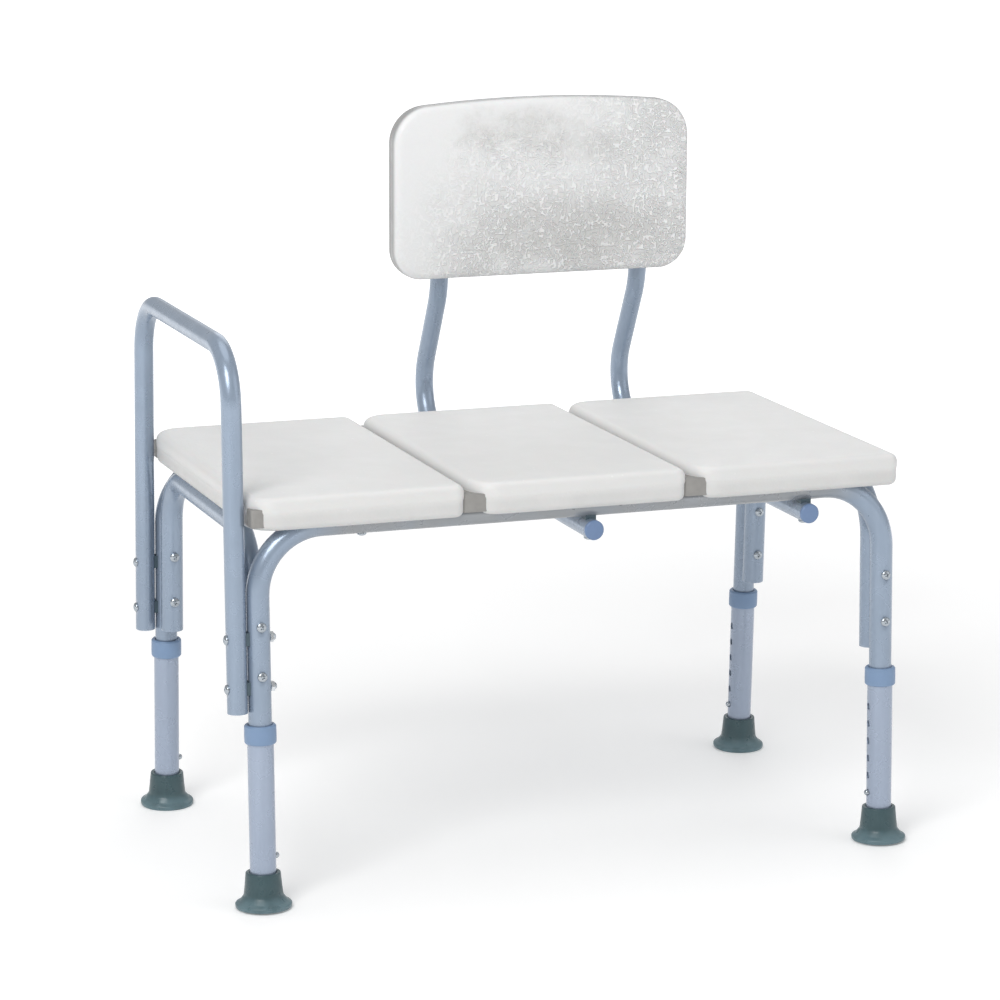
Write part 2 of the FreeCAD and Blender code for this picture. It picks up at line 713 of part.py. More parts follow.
# ------------------------------------------------------------ backrest
def backrest_tube(side, sx):
    run = back_tube_height
    lean = named("back_lean")
    upright = named("back_upright")
    foot = named("back_lean_foot")
    knee = run + (foot - upright) / tangent(lean)
    front = named("back_tube_front")
    top = named("back_tube_top")
    points = [(-front, run), (foot, run), (upright, knee), (upright, top)]
    bends = [low_bend, named("back_high_bend")]
    label = "backrest_tube_%s" % side
    tube = pipe(label + "_tube", "YZ_Plane", points, bends,
                "XZ_Plane", (0, run, front), None, back_r, named("back_tube_wall"))
    hole = named("bolt_hole_dia") / 2
    clear = back_r + 2
    tools = []
    for end, sy in ENDS:
        at = (0, sy * leg_line(bar_height), run)
        tools.append(rod("%s_seat_%s" % (label, end), hole, 2 * clear, at, (0, 0, 1), clear))
    for level in LEVELS:
        at = (0, upright, named("back_screw_%s" % level))
        tools.append(rod("%s_back_%s" % (label, level), hole, 2 * clear, at, (0, 1, 0), clear))
    return place(cut(label, tube, tools), (back_tube_x(sx), 0, 0))


def backrest_plug(side, sx):
    """Push-in end plug: a domed rim outside the tube and a stem inside it."""
    stem = back_r - named("back_tube_wall") - named("push_gap")
    edge = named("plug_edge")
    rim = named("plug_rim")
    points = [(0, -rim), (back_r - edge, -rim), (back_r, -rim + edge), (back_r, 0),
              (stem, 0), (stem, named("plug_stem")), (0, named("plug_stem"))]
    body = turned("backrest_plug_%s" % side, points, {1: (edge, 1)})
    front = -named("back_tube_front") - named("push_gap")
    return place(body, (back_tube_x(sx), front, back_tube_height), along((0, 1, 0)))


def backrest_panel():
    half = named("back_width") / 2
    corner = named("back_corner")
    low = named("back_bottom")
    shoulder = named("back_shoulder")
    peak = named("back_peak")
    rise = peak - shoulder
    arch = arc_radius(half, rise)
    inner = half - corner
    crown = named("back_top_corner")
    top_inner = half - crown
    arch_end = peak - top_inner * top_inner / (2 * arch)
    body = new_body("backrest_panel_slab")
    upright = named("back_upright")
    sketch = new_sketch(body, "XZ_Plane", (0, 0, -upright))
    points = [(-inner, low), (inner, low), (half, low + corner), (half, shoulder - crown),
              (top_inner, arch_end), (-top_inner, arch_end), (-half, shoulder - crown),
              (-half, low + corner)]
    turn = crown * 1.06
    arcs = {1: (corner, 1), 3: (turn, 1), 4: (arch, 1), 5: (turn, 1), 7: (corner, 1)}
    outline(sketch, points, arcs)
    pad = body.newObject("PartDesign::Pad", "backrest_panel_pad")
    pad.Profile = sketch
    bind(pad, "Length", named("back_thick"))
    doc.recompute()
    face = upright.value - named("back_thick").value
    soften(body, "backrest_panel_front_edge", "Y", face, named("back_edge"))
    soften(body, "backrest_panel_rear_edge", "Y", upright.value, named("back_rear_edge"))
    tools = []
    reach = named("back_tube_top") + 1
    for side, sx in SIDES:
        x = back_tube_x(sx) - named("back_mid")
        channel = back_r + named("channel_gap")
        start = (x, upright, low - 20)
        tools.append(rod("backrest_channel_%s" % side, channel, reach - low + 20, start, (0, 0, 1)))
        for level in LEVELS:
            at = (x, upright - back_r + 2, named("back_screw_%s" % level))
            depth = named("back_screw_depth") + 2.5
            tools.append(rod("backrest_screw_%s_%s" % (side, level), bolt_r + named("thread_gap"),
                             depth, at, (0, -1, 0)))
    node = cut("backrest_panel", body, tools)
    return place(node, (named("back_mid"), 0, 0))


# ------------------------------------------------------------ fasteners and spacers
def corner_fasteners():
    """Bolts from front to back through each long frame leg, a saddle and a side frame leg."""
    bolts = []
    nuts = []
    saddles = []
    grip = 4 * frame_r + saddle_gap
    length = grip + named("nut_height") + named("bolt_tail")
    for name, sx, sy in LEGS:
        for level in LEVELS:
            up = named("corner_bolt_%s" % level)
            tag = "%s_%s" % (name, level)
            backward = leg_turn(sy, Rotation(Vector(0, 0, 1), Vector(0, 1, 0)))
            outer, inner = frame_r, frame_r - grip
            start, stop = (outer, inner) if sy < 0 else (inner, outer)
            head = leg_point(sx, sy, zero, start, up)
            bolts.append(bolt("corner_bolt_" + tag, length, head, backward))
            tail = leg_point(sx, sy, zero, stop, up)
            nuts.append(nut("corner_nut_" + tag, tail, backward))
            middle = leg_point(sx, sy, zero, -frame_r - saddle_gap / 2, up)
            turn = backward.multiply(Rotation(Vector(0, 0, 1), 90))
            spacer = saddle("corner_saddle_" + tag, middle, turn, saddle_gap, frame_r, frame_r)
            saddles.append(spacer)
    return [group("corner_bolts", bolts), group("corner_nuts", nuts),
            group("corner_saddles", saddles)]


def armrest_fasteners():
    """Bolts through the armrest leg, a saddle and the long frame leg beside it."""
    bolts = []
    nuts = []
    saddles = []
    grip = 2 * arm_r + saddle_gap + 2 * frame_r
    length = grip + named("nut_height") + named("bolt_tail")
    for end, sy in ENDS:
        for level in LEVELS:
            up = named("arm_bolt_%s" % level)
            tag = "%s_%s" % (end, level)
            inward = leg_turn(sy, Rotation(Vector(0, 0, 1), Vector(1, 0, 0)))
            head = leg_point(-1, sy, -(frame_r + saddle_gap + 2 * arm_r), zero, up)
            bolts.append(bolt("armrest_bolt_" + tag, length, head, inward))
            nuts.append(nut("armrest_nut_" + tag, leg_point(-1, sy, frame_r, zero, up), inward))
            middle = leg_point(-1, sy, -(frame_r + saddle_gap / 2), zero, up)
            spacer = saddle("armrest_saddle_" + tag, middle, inward, saddle_gap, arm_r, frame_r)
            saddles.append(spacer)
    return [group("armrest_bolts", bolts), group("armrest_nuts", nuts),
            group("armrest_saddles", saddles)]


def seat_fasteners():
    """Screws up through the bars into the panels; the longer ones hold the back tubes too."""
    screws = []
    long_screws = []
    saddles = []
    for end, sy in ENDS:
        y = sy * leg_line(bar_height)
        reach = 2 * frame_r + named("screw_depth")
        under = (seat_bolt_places()[0], y, bar_height - frame_r)
        screws.append(bolt("seat_screw_" + end, reach, under, Rotation()))
        for side, sx in SIDES:
            x = back_tube_x(sx)
            tag = "%s_%s" % (end, side)
            low = back_tube_height - back_r
            full = 2 * back_r + named("back_saddle_gap") + reach
            long_screws.append(bolt("backrest_bolt_" + tag, full, (x, y, low), Rotation()))
            middle = (x, y, bar_height - frame_r - named("back_saddle_gap") / 2)
            turn = Rotation(Vector(0, 0, 1), 90)
            saddles.append(saddle("backrest_saddle_" + tag, middle, turn,
                                  named("back_saddle_gap"), back_r, frame_r, True))
    return [group("seat_screws", screws), group("backrest_tube_bolts", long_screws),
            group("backrest_saddles", saddles)]


def backrest_screws():
    screws = []
    for side, sx in SIDES:
        for level in LEVELS:
            behind = named("back_upright") + back_r
            at = (back_tube_x(sx), behind, named("back_screw_%s" % level))
            reach = 2 * back_r + named("back_screw_depth")
            tag = "backrest_screw_bolt_%s_%s" % (side, level)
            screws.append(bolt(tag, reach, at, along((0, -1, 0))))
    return group("backrest_screws", screws)


# ------------------------------------------------------------ the whole bench
nodes = []
for end, sy in ENDS:
    nodes.append(long_frame(end, sy))
for side, sx in SIDES:
    nodes.append(side_frame(side, sx))
nodes.append(armrest())
for name, sx, sy in LEGS:
    nodes.append(leg_sleeve(name, sx, sy))
    nodes.append(leg_collar(name, sx, sy))
    nodes.append(rubber_foot(name, sx, sy))
    nodes.append(snap_button(name, sx, sy))
    nodes.append(button_spring(name, sx, sy))
for number, label in enumerate(["seat_panel_left", "seat_panel_middle", "seat_panel_right"]):
    nodes.append(seat_panel(number, label))
for side, sx in SIDES:
    nodes.append(backrest_tube(side, sx))
    nodes.append(backrest_plug(side, sx))
nodes.append(backrest_panel())
nodes += corner_fasteners()
nodes += armrest_fasteners()
nodes += seat_fasteners()
nodes.append(backrest_screws())
for node in nodes:
    carry(node)
doc.recompute()

for thing in doc.Objects:
    if "Invalid" in thing.State or "Error" in thing.State:
        raise RuntimeError("%s did not build: %s" % (thing.Label, thing.State))

os.makedirs("parts", exist_ok=True)
for node in nodes:
    shape = node.Shape
    if shape.isNull() or not shape.isValid() or not shape.Solids:
        raise RuntimeError("%s has no sound solid" % node.Label)
    shape.exportStep(os.path.join("parts", node.Label + ".step"))
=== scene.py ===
import math

import bmesh
import bpy
from mathutils import Matrix, Vector


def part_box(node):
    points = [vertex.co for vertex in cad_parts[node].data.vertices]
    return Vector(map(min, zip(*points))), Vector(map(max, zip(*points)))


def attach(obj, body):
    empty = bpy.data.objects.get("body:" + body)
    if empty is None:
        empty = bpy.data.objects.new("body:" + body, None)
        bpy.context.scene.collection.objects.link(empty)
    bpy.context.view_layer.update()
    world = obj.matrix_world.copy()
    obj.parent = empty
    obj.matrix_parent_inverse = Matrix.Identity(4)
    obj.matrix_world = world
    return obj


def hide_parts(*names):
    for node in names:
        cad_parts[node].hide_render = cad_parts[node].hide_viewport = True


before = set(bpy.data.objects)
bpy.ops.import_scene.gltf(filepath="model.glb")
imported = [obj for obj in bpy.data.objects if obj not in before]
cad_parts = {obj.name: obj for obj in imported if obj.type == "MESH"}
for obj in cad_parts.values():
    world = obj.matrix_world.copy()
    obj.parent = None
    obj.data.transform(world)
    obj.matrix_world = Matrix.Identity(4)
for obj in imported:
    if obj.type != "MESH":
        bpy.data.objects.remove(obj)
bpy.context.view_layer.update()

SIGNS = (-1, 1)
SIDES = (("left", -1), ("right", 1))
ENDS = (("front", -1), ("rear", 1))
LEGS = [(f"{end}_{side}", sx, sy) for end, sy in ENDS for side, sx in SIDES]
LEVELS = ("high", "low")

# ---- bench sizes, metres
TUBE_R, TUBE_WALL = 0.0127, 0.0015
TUBE_GAP, BACK_GAP = 0.001, 0.0018
SLEEVE_R, SLEEVE_BORE, SLEEVE_LOW, SLEEVE_TOP = 0.0143, 0.0131, 0.0090, 0.2005
HOLE_R, HOLE_FIRST, HOLE_STEP, HOLE_COUNT = 0.0039, 0.0563, 0.0202, 6
ARM_R = 0.0111
SPLAY = math.radians(2.15)
LEG_SPREAD, LEG_FOOT = 0.367, 0.2005
BAR_HEIGHT, LONG_BEND, LEG_END = 0.4153, 0.072, 0.047
SIDE_BAR, SIDE_BEND, SIDE_END = 0.406, 0.060, 0.2205
SIDE_INSET = 2 * TUBE_R + TUBE_GAP
ARM_TOP, ARM_BEND, ARM_END = 0.607, 0.060, 0.217
ARM_X = LEG_SPREAD + TUBE_R + TUBE_GAP + ARM_R
CORNER_BOLTS = {"high": 0.311, "low": 0.257}
ARM_BOLTS = {"high": 0.2977, "low": 0.2437}
PANEL_CORNER_LEFT, PANEL_CORNER_RIGHT = 0.034, 0.012
TONGUE_OUT, TONGUE_SUNK, TONGUE_SETBACK, TONGUE_ROOT = 0.010, 0.0025, 0.006, 0.020
TONGUE_LIFT, TONGUE_TOP, TONGUE_CORNER = 0.004, 0.024, 0.0035
BACK_TUBE_MID, BACK_TUBE_HALF, BACK_TUBE_FRONT = 0.141, 0.129, 0.200
BACK_LEAN, BACK_LEAN_FOOT, BACK_UPRIGHT = math.radians(27.9), 0.414, 0.315
BACK_LOW_BEND, BACK_HIGH_BEND, BACK_TUBE_TOP = 0.065, 0.090, 0.768
BACK_RUN = BAR_HEIGHT - TUBE_R - BACK_GAP - ARM_R
BACK_SCREWS = {"high": 0.742, "low": 0.632}
BACK_THICK = 0.030
BACK_CORNER, BACK_CROWN, BACK_RISE = 0.036, 0.046, 0.011
EDGE_ROUND = 0.0095
HEAD_R, HEAD_HEIGHT, HEAD_RIM = 0.0055, 0.0036, 0.0004
SHANK_R, SHANK_LENGTH = 0.0030, 0.0045
SEAT_DEPTH = 0.0010

# ---- how fine the meshes are
ROUND_STEPS, BEND_STEPS, RING_SPACING = 36, 14, 0.0028
# Angles in degrees: the dome's half turn, and how far faces bend before their edge is crisp.
DOME_TURN = 78
CRISP, CRISP_TUBE, CRISP_PANEL, CRISP_HEXAGON = 35, 50, 40, 25
# Edges that bend more than WEAR_ANGLE, in radians, are rubbed, and more so the more they bend.
WEAR_ANGLE, WEAR_ZERO, WEAR_RATE = 0.28, 0.24, 1.6

foot_boxes = [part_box(f"rubber_foot_{name}") for name, _, _ in LEGS]
MID = sum((low + high for low, high in foot_boxes), Vector()) / 8
MID.z = 0.0


def spot(x, y, z):
    """Point measured from the middle of the four feet."""
    return Vector((MID.x + x, MID.y + y, z))


def leg_line(height):
    """How far a splayed leg's centre line is from the middle, front to back."""
    return LEG_FOOT - height * math.tan(SPLAY)


def leg_spot(sx, sy, across, outward, up):
    """Point on a leg's own axes: along the bench, away from the seat, up the leg."""
    y = sy * (LEG_FOOT + outward * math.cos(SPLAY) - up * math.sin(SPLAY))
    return spot(sx * LEG_SPREAD + across, y, outward * math.sin(SPLAY) + up * math.cos(SPLAY))


def leg_way(sy):
    """The way out from a leg, square to its own axis."""
    return Vector((0, sy * math.cos(SPLAY), math.sin(SPLAY)))


# ---- finishes
class Finish:
    """A procedural finish: a shader, and short ways to add the nodes that feed it."""

    def __init__(self, name):
        self.material = bpy.data.materials.new(name)
        self.material.use_nodes = True
        self.nodes = self.material.node_tree.nodes
        self.links = self.material.node_tree.links
        self.nodes.clear()
        self.shader = self.add("ShaderNodeBsdfPrincipled")
        out = self.add("ShaderNodeOutputMaterial")
        self.join(self.shader.outputs["BSDF"], out.inputs["Surface"])
        self.place = self.add("ShaderNodeTexCoord").outputs["Object"]

    def add(self, kind, **settings):
        node = self.nodes.new(kind)
        for key, value in settings.items():
            setattr(node, key, value)
        return node

    def join(self, out, into):
        self.links.new(out, into)

    def set(self, **values):
        for key, value in values.items():
            self.shader.inputs[key.replace("_", " ")].default_value = value

    def noise(self, scale, detail=2.0, rough=0.5, where=None, stretch=None):
        node = self.add("ShaderNodeTexNoise")
        node.inputs["Scale"].default_value = scale
        node.inputs["Detail"].default_value = detail
        node.inputs["Roughness"].default_value = rough
        self.join(self.stretched(where, stretch), node.inputs["Vector"])
        return node.outputs["Fac"]

    def stretched(self, where, stretch):
        where = where if where is not None else self.place
        if stretch is None:
            return where
        node = self.add("ShaderNodeMapping")
        node.inputs["Scale"].default_value = stretch
        self.join(where, node.inputs["Vector"])
        return node.outputs["Vector"]

    def pebbles(self, scale, feature="SMOOTH_F1", smooth=0.6):
        node = self.add("ShaderNodeTexVoronoi", feature=feature)
        node.inputs["Scale"].default_value = scale
        if feature == "SMOOTH_F1":
            node.inputs["Smoothness"].default_value = smooth
        self.join(self.place, node.inputs["Vector"])
        return node.outputs["Distance"]

    def ramp(self, value, low, high, out_low=0.0, out_high=1.0, smooth=True):
        node = self.add("ShaderNodeMapRange", interpolation_type="SMOOTHSTEP" if smooth else "LINEAR")
        limits = {"From Min": low, "From Max": high, "To Min": out_low, "To Max": out_high}
        for key, number in limits.items():
            node.inputs[key].default_value = number
        self.join(value, node.inputs["Value"])
        return node.outputs["Result"]

    def math(self, operation, a, b=None):
        node = self.add("ShaderNodeMath", operation=operation)
        for socket, value in zip(node.inputs, (a, b)):
            if value is None:
                continue
            if isinstance(value, (int, float)):
                socket.default_value = value
            else:
                self.join(value, socket)
        return node.outputs[0]

    def times(self, first, *others):
        for other in others:
            first = self.math("MULTIPLY", first, other)
        return first

    def most(self, first, *others):
        for other in others:
            first = self.math("MAXIMUM", first, other)
        return first

    def axes(self):
        """X, Y and Z of the piece's own coordinates."""
        node = self.add("ShaderNodeSeparateXYZ")
        self.join(self.place, node.inputs[0])
        return node.outputs["X"], node.outputs["Y"], node.outputs["Z"]

    def blend(self, share, first, second):
        node = self.add("ShaderNodeMix", data_type="RGBA")
        self.join(share, node.inputs["Factor"])
        for socket, value in ((node.inputs[6], first), (node.inputs[7], second)):
            if isinstance(value, tuple):
                socket.default_value = (*value, 1.0)
            else:
                self.join(value, socket)
        return node.outputs[2]

    def colour(self, value):
        self.join(value, self.shader.inputs["Base Color"])

    def rough(self, value):
        self.join(value, self.shader.inputs["Roughness"])

    def bump(self, height, depth, strength=1.0, under=None):
        node = self.add("ShaderNodeBump")
        node.inputs["Strength"].default_value = strength
        node.inputs["Distance"].default_value = depth
        self.join(height, node.inputs["Height"])
        if under is not None:
            self.join(under, node.inputs["Normal"])
        self.join(node.outputs["Normal"], self.shader.inputs["Normal"])
        return node.outputs["Normal"]

    def edges(self, low=0.1, high=0.9):
        """Wear that sharpen() stored along the piece's edges."""
        node = self.add("ShaderNodeAttribute", attribute_name="wear")
        return self.ramp(node.outputs["Fac"], low, high)


def tube_paint(name, deep, pale, seat_shade=False, worn=True):
    """Satin pale steel-blue coat with soft streaks and a little orange peel.

    Painted shade can grey the level run under the seat, where the seat shades it; worn rubs the edges
    paler.
    """
    seat_shade_middle, seat_shade_end, seat_shade_full = 0.012, 0.345, 0.270
    seat_shade_low, seat_shade_high = 0.396, 0.404
    paint = Finish(name)
    base = paint.blend(paint.noise(14, 3), deep, pale)
    streak = paint.ramp(paint.noise(70, 4, 0.6, stretch=(1, 1, 0.06)), 0.45, 0.75, 0.0, 0.5)
    base = paint.blend(streak, base, tuple(c * 1.12 for c in pale))
    # painted shade: a patchy grey darkening of the level run under the seat, standing for the seat's shadow
    if seat_shade:
        x, _, z = paint.axes()
        across = paint.math("ABSOLUTE", paint.math("SUBTRACT", x, seat_shade_middle))
        share = paint.times(paint.ramp(across, seat_shade_end, seat_shade_full), paint.ramp(z, seat_shade_low, seat_shade_high))
        patchy = paint.ramp(paint.noise(22, 4), 0.25, 0.6, 0.7, 0.95)
        base = paint.blend(paint.times(share, patchy), base, (0.285, 0.295, 0.305))
    if worn:
        rubbed = paint.times(paint.edges(), paint.ramp(paint.noise(90, 3), 0.42, 0.62, 0.0, 0.35))
        base = paint.blend(rubbed, base, (0.50, 0.55, 0.62))
    paint.colour(base)
    paint.rough(paint.ramp(paint.noise(40, 4), 0.3, 0.7, 0.24, 0.34))
    peel = paint.bump(paint.noise(420, 2), 0.00006, 0.15)
    paint.bump(paint.noise(60, 2), 0.00012, 0.2, peel)
    paint.set(Metallic=0.40, Coat_Weight=0.30, Coat_Roughness=0.22)
    return paint.material


def seat_plastic():
    """Off-white blow-moulded plastic: faint pebble, pale specks and soft scuffs, with painted shade greying
    the sides and, patchily, their lower half.
    """
    side_shade_from, side_shade_full = 0.4505, 0.4455
    low_shade_from, low_shade_full = 0.4375, 0.4285
    plastic = Finish("seat_plastic")
    _, _, z = plastic.axes()
    base = plastic.blend(plastic.noise(9, 4, 0.6), (0.69, 0.69, 0.685), (0.735, 0.735, 0.73))
    specks = plastic.ramp(plastic.pebbles(48, "F1"), 0.035, 0.075, 0.5, 0.0)
    base = plastic.blend(specks, base, (0.84, 0.84, 0.84))
    scuff = plastic.ramp(plastic.noise(60, 6, 0.72, stretch=(0.5, 1, 1)), 0.64, 0.76, 0.0, 0.35)
    base = plastic.blend(scuff, base, (0.80, 0.80, 0.795))
    # painted shade: below the top edge the sides are greyer, as if less lit than the top
    side = plastic.ramp(z, side_shade_from, side_shade_full, 0.0, 0.45)
    base = plastic.blend(side, base, (0.58, 0.58, 0.575))
    # painted shade: the lower half of the sides is darker still, in patches
    shade_patchiness = plastic.ramp(plastic.noise(25, 4), 0.3, 0.7, 0.65, 1.0)
    low = plastic.times(plastic.ramp(z, low_shade_from, low_shade_full), shade_patchiness, 0.70)
    plastic.colour(plastic.blend(low, base, (0.53, 0.53, 0.525)))
    plastic.rough(plastic.ramp(plastic.noise(30, 5), 0.3, 0.7, 0.42, 0.56))
    grain = plastic.bump(plastic.pebbles(330), 0.0005, 0.28)
    grain = plastic.bump(plastic.noise(1100, 2), 0.0002, 0.35, grain)
    plastic.bump(plastic.noise(11, 2), 0.0025, 0.25, grain)
    plastic.set(Subsurface_Weight=0.06, Subsurface_Scale=0.004)
    return plastic.material


def worm_lines(plastic):
    """Crests of a wandering worm pattern: noise read at places that other noise has shifted."""
    warp = plastic.add("ShaderNodeCombineXYZ")
    plastic.join(plastic.noise(120, 1), warp.inputs[0])
    plastic.join(plastic.noise(116, 1, stretch=(1, 1, -1)), warp.inputs[2])
    swell = plastic.add("ShaderNodeVectorMath", operation="SCALE")
    plastic.join(warp.outputs[0], swell.inputs[0])
    swell.inputs["Scale"].default_value = 0.007
    shift = plastic.add("ShaderNodeVectorMath", operation="ADD")
    plastic.join(plastic.place, shift.inputs[0])
    plastic.join(swell.outputs[0], shift.inputs[1])
    worms = plastic.noise(190, 0.5, 0.4, where=shift.outputs[0])
    crest = plastic.math("ABSOLUTE", plastic.math("SUBTRACT", worms, 0.5))
    return plastic.ramp(crest, 0.095, 0.03)


def worm_plastic():
    """White moulded plastic with raised worms, smoother at one side; its colour carries painted shade in
    the hollows, painted highlight on the crests, grey patches of painted reflection, and painted shade on
    the sides and back.
    """
    plastic = Finish("worm_plastic")
    x, y, z = plastic.axes()
    front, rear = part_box("backrest_panel")
    mid = (front + rear) / 2

    def patch(across, up, wide, tall, amount):
        """Soft ragged patch, measured from the middle of the panel."""
        u = plastic.math("DIVIDE", plastic.math("SUBTRACT", x, mid.x + across), wide)
        v = plastic.math("DIVIDE", plastic.math("SUBTRACT", z, mid.z + up), tall)
        far = plastic.math("ADD", plastic.times(u, u), plastic.times(v, v))
        ragged = plastic.ramp(plastic.noise(30, 5, 0.7), 0.25, 0.75, -0.7, 0.7, False)
        return plastic.times(plastic.ramp(plastic.math("ADD", far, ragged), 1.3, -0.3), amount)

    ridge = worm_lines(plastic)
    lower = plastic.ramp(z, mid.z + 0.06, mid.z - 0.05)
    right = plastic.ramp(x, mid.x - 0.02, mid.x + 0.15)
    smooth_side = plastic.ramp(x, mid.x - 0.175, mid.x - 0.08, 0.12, 1.0)
    uneven = plastic.ramp(plastic.noise(18, 3, 0.55), 0.30, 0.55, 0.45, 1.0)
    strong = plastic.most(lower, right, patch(-0.03, 0.035, 0.10, 0.06, 0.6))
    strong = plastic.times(strong, smooth_side, uneven)
    # painted reflection: soft grey patches laid on the face
    grey = plastic.most(patch(-0.030, 0.070, 0.085, 0.030, 0.65),
                        patch(0.055, 0.045, 0.060, 0.022, 0.50),
                        patch(0.050, -0.060, 0.150, 0.048, 0.75))
    base = plastic.blend(grey, (0.74, 0.745, 0.75), (0.55, 0.548, 0.54))
    # painted shade darkens the hollows between the worms and painted highlight lightens their crests, both
    # strongest where the worms are strong, so the lower right reads greyer
    hollow_shade = plastic.times(plastic.math("SUBTRACT", 1.0, ridge), strong, 0.42)
    base = plastic.blend(hollow_shade, base, (0.42, 0.42, 0.41))
    base = plastic.blend(plastic.times(ridge, strong, 0.35), base, (0.84, 0.84, 0.84))
    # painted shade: the sides and back, away from the face, are a darker grey than the face
    rim = plastic.times(plastic.ramp(y, front.y + 0.0035, front.y + 0.0095), 0.9)
    plastic.colour(plastic.blend(rim, base, (0.30, 0.30, 0.30)))
    plastic.rough(plastic.ramp(plastic.noise(45, 4), 0.3, 0.7, 0.30, 0.46))
    relief = plastic.bump(plastic.times(ridge, plastic.most(strong, 0.08)), 0.0011, 1.0)
    plastic.bump(plastic.noise(900, 2), 0.00015, 0.3, relief)
    plastic.set(Subsurface_Weight=0.05, Subsurface_Scale=0.004)
    return plastic.material


def blue_plastic(name, deep, pale, rough):
    """Moulded blue plastic with a fine matt grain and paler rubbed edges."""
    plastic = Finish(name)
    base = plastic.blend(plastic.noise(35, 4, 0.6), deep, pale)
    worn = plastic.times(plastic.edges(), 0.5)
    lift = tuple(min(1.0, c * 1.35 + 0.03) for c in pale)
    plastic.colour(plastic.blend(worn, base, lift))
    plastic.rough(plastic.ramp(plastic.noise(70, 4), 0.3, 0.7, rough, rough + 0.14))
    grain = plastic.bump(plastic.noise(1500, 2), 0.0001, 0.4)
    plastic.bump(plastic.noise(120, 3), 0.0003, 0.3, grain)
    return plastic.material


def foot_rubber():
    """Dark blue-grey rubber, paler in patches near the floor as painted highlight on the flange, with a
    rubbed rim.
    """
    rubber = Finish("foot_rubber")
    base = rubber.blend(rubber.noise(40, 5, 0.65), (0.030, 0.062, 0.072), (0.055, 0.105, 0.118))
    _, _, z = rubber.axes()
    patchy = rubber.ramp(rubber.noise(55, 4), 0.3, 0.6, 0.45, 0.8)
    # painted highlight: the flange near the floor is paler, in patches
    flange_highlight = rubber.times(rubber.ramp(z, 0.019, 0.006), patchy)
    base = rubber.blend(flange_highlight, base, (0.135, 0.215, 0.245))
    worn = rubber.times(rubber.edges(), 0.6)
    rubber.colour(rubber.blend(worn, base, (0.18, 0.26, 0.28)))
    rubber.rough(rubber.ramp(rubber.noise(90, 4), 0.3, 0.7, 0.26, 0.44))
    grain = rubber.bump(rubber.noise(1300, 3), 0.00015, 0.5)
    rubber.bump(rubber.noise(160, 3), 0.0004, 0.3, grain)
    return rubber.material


def bright_zinc():
    """Bright zinc plate: a metal with a soft grain, uneven shine and paler edges."""
    zinc = Finish("bright_zinc")
    base = zinc.blend(zinc.noise(300, 4), (0.36, 0.40, 0.44), (0.50, 0.54, 0.58))
    zinc.colour(zinc.blend(zinc.edges(0.3, 1.0), base, (0.70, 0.73, 0.76)))
    zinc.rough(zinc.ramp(zinc.noise(700, 3), 0.3, 0.7, 0.16, 0.30))
    zinc.bump(zinc.noise(2400, 3), 0.00006, 0.4)
    zinc.set(Metallic=1.0)
    return zinc.material


def spring_steel():
    """Plain steel strip with its grain along the leaf."""
    steel = Finish("spring_steel")
    grain = steel.noise(200, 4, stretch=(1, 1, 0.1))
    steel.colour(steel.blend(grain, (0.28, 0.28, 0.29), (0.42, 0.42, 0.43)))
    steel.rough(steel.ramp(steel.noise(500, 3, stretch=(1, 1, 0.1)), 0.3, 0.7, 0.25, 0.42))
    steel.bump(steel.noise(1800, 2, stretch=(1, 1, 0.08)), 0.00005, 0.4)
    steel.set(Metallic=1.0)
    return steel.material


def dark_plastic(name, deep, pale):
    """Matt moulded plastic with a fine grain."""
    plastic = Finish(name)
    plastic.colour(plastic.blend(plastic.noise(120, 4), deep, pale))
    plastic.rough(plastic.ramp(plastic.noise(200, 3), 0.3, 0.7, 0.45, 0.62))
    plastic.bump(plastic.noise(1400, 2), 0.00012, 0.4)
    return plastic.material


STEEL_BLUE = (0.245, 0.308, 0.398), (0.283, 0.346, 0.436)
PAINT = tube_paint("tube_paint", *STEEL_BLUE)
# the front and rear bars carry painted shade where they run under the seat
BAR_PAINT = tube_paint("bar_paint", *STEEL_BLUE, seat_shade=True)
SLEEVE_PAINT = tube_paint("sleeve_paint", (0.310, 0.368, 0.470), (0.345, 0.402, 0.505), worn=False)
SEAT = seat_plastic()
BACK = worm_plastic()
COLLAR = blue_plastic("collar_plastic", (0.165, 0.255, 0.405), (0.205, 0.30, 0.455), 0.36)
PLUG = blue_plastic("plug_plastic", (0.118, 0.185, 0.325), (0.150, 0.228, 0.385), 0.30)
RUBBER = foot_rubber()
ZINC = bright_zinc()
SPRING = spring_steel()
SADDLE = dark_plastic("saddle_plastic", (0.045, 0.075, 0.095), (0.080, 0.120, 0.145))
# painted shade: the tongues are the seat's white plastic, given a grey-brown here to stand for the shade
# between the panels
TONGUE_SHADE = dark_plastic("tongue_painted_shade", (0.225, 0.220, 0.210), (0.300, 0.292, 0.280))


# ---- making meshes
def link(thing):
    """Put a new object in the scene."""
    bpy.context.scene.collection.objects.link(thing)
    return thing


def mesh_piece(name, shape, finishes, smooth=True):
    """Object made from a bmesh, with its faces outward and its finishes on."""
    bmesh.ops.remove_doubles(shape, verts=shape.verts, dist=1e-6)
    bmesh.ops.recalc_face_normals(shape, faces=shape.faces)
    mesh = bpy.data.meshes.new(name)
    shape.to_mesh(mesh)
    shape.free()
    for finish in finishes:
        mesh.materials.append(finish)
    mesh.polygons.foreach_set("use_smooth", [smooth] * len(mesh.polygons))
    return link(bpy.data.objects.new(name, mesh))


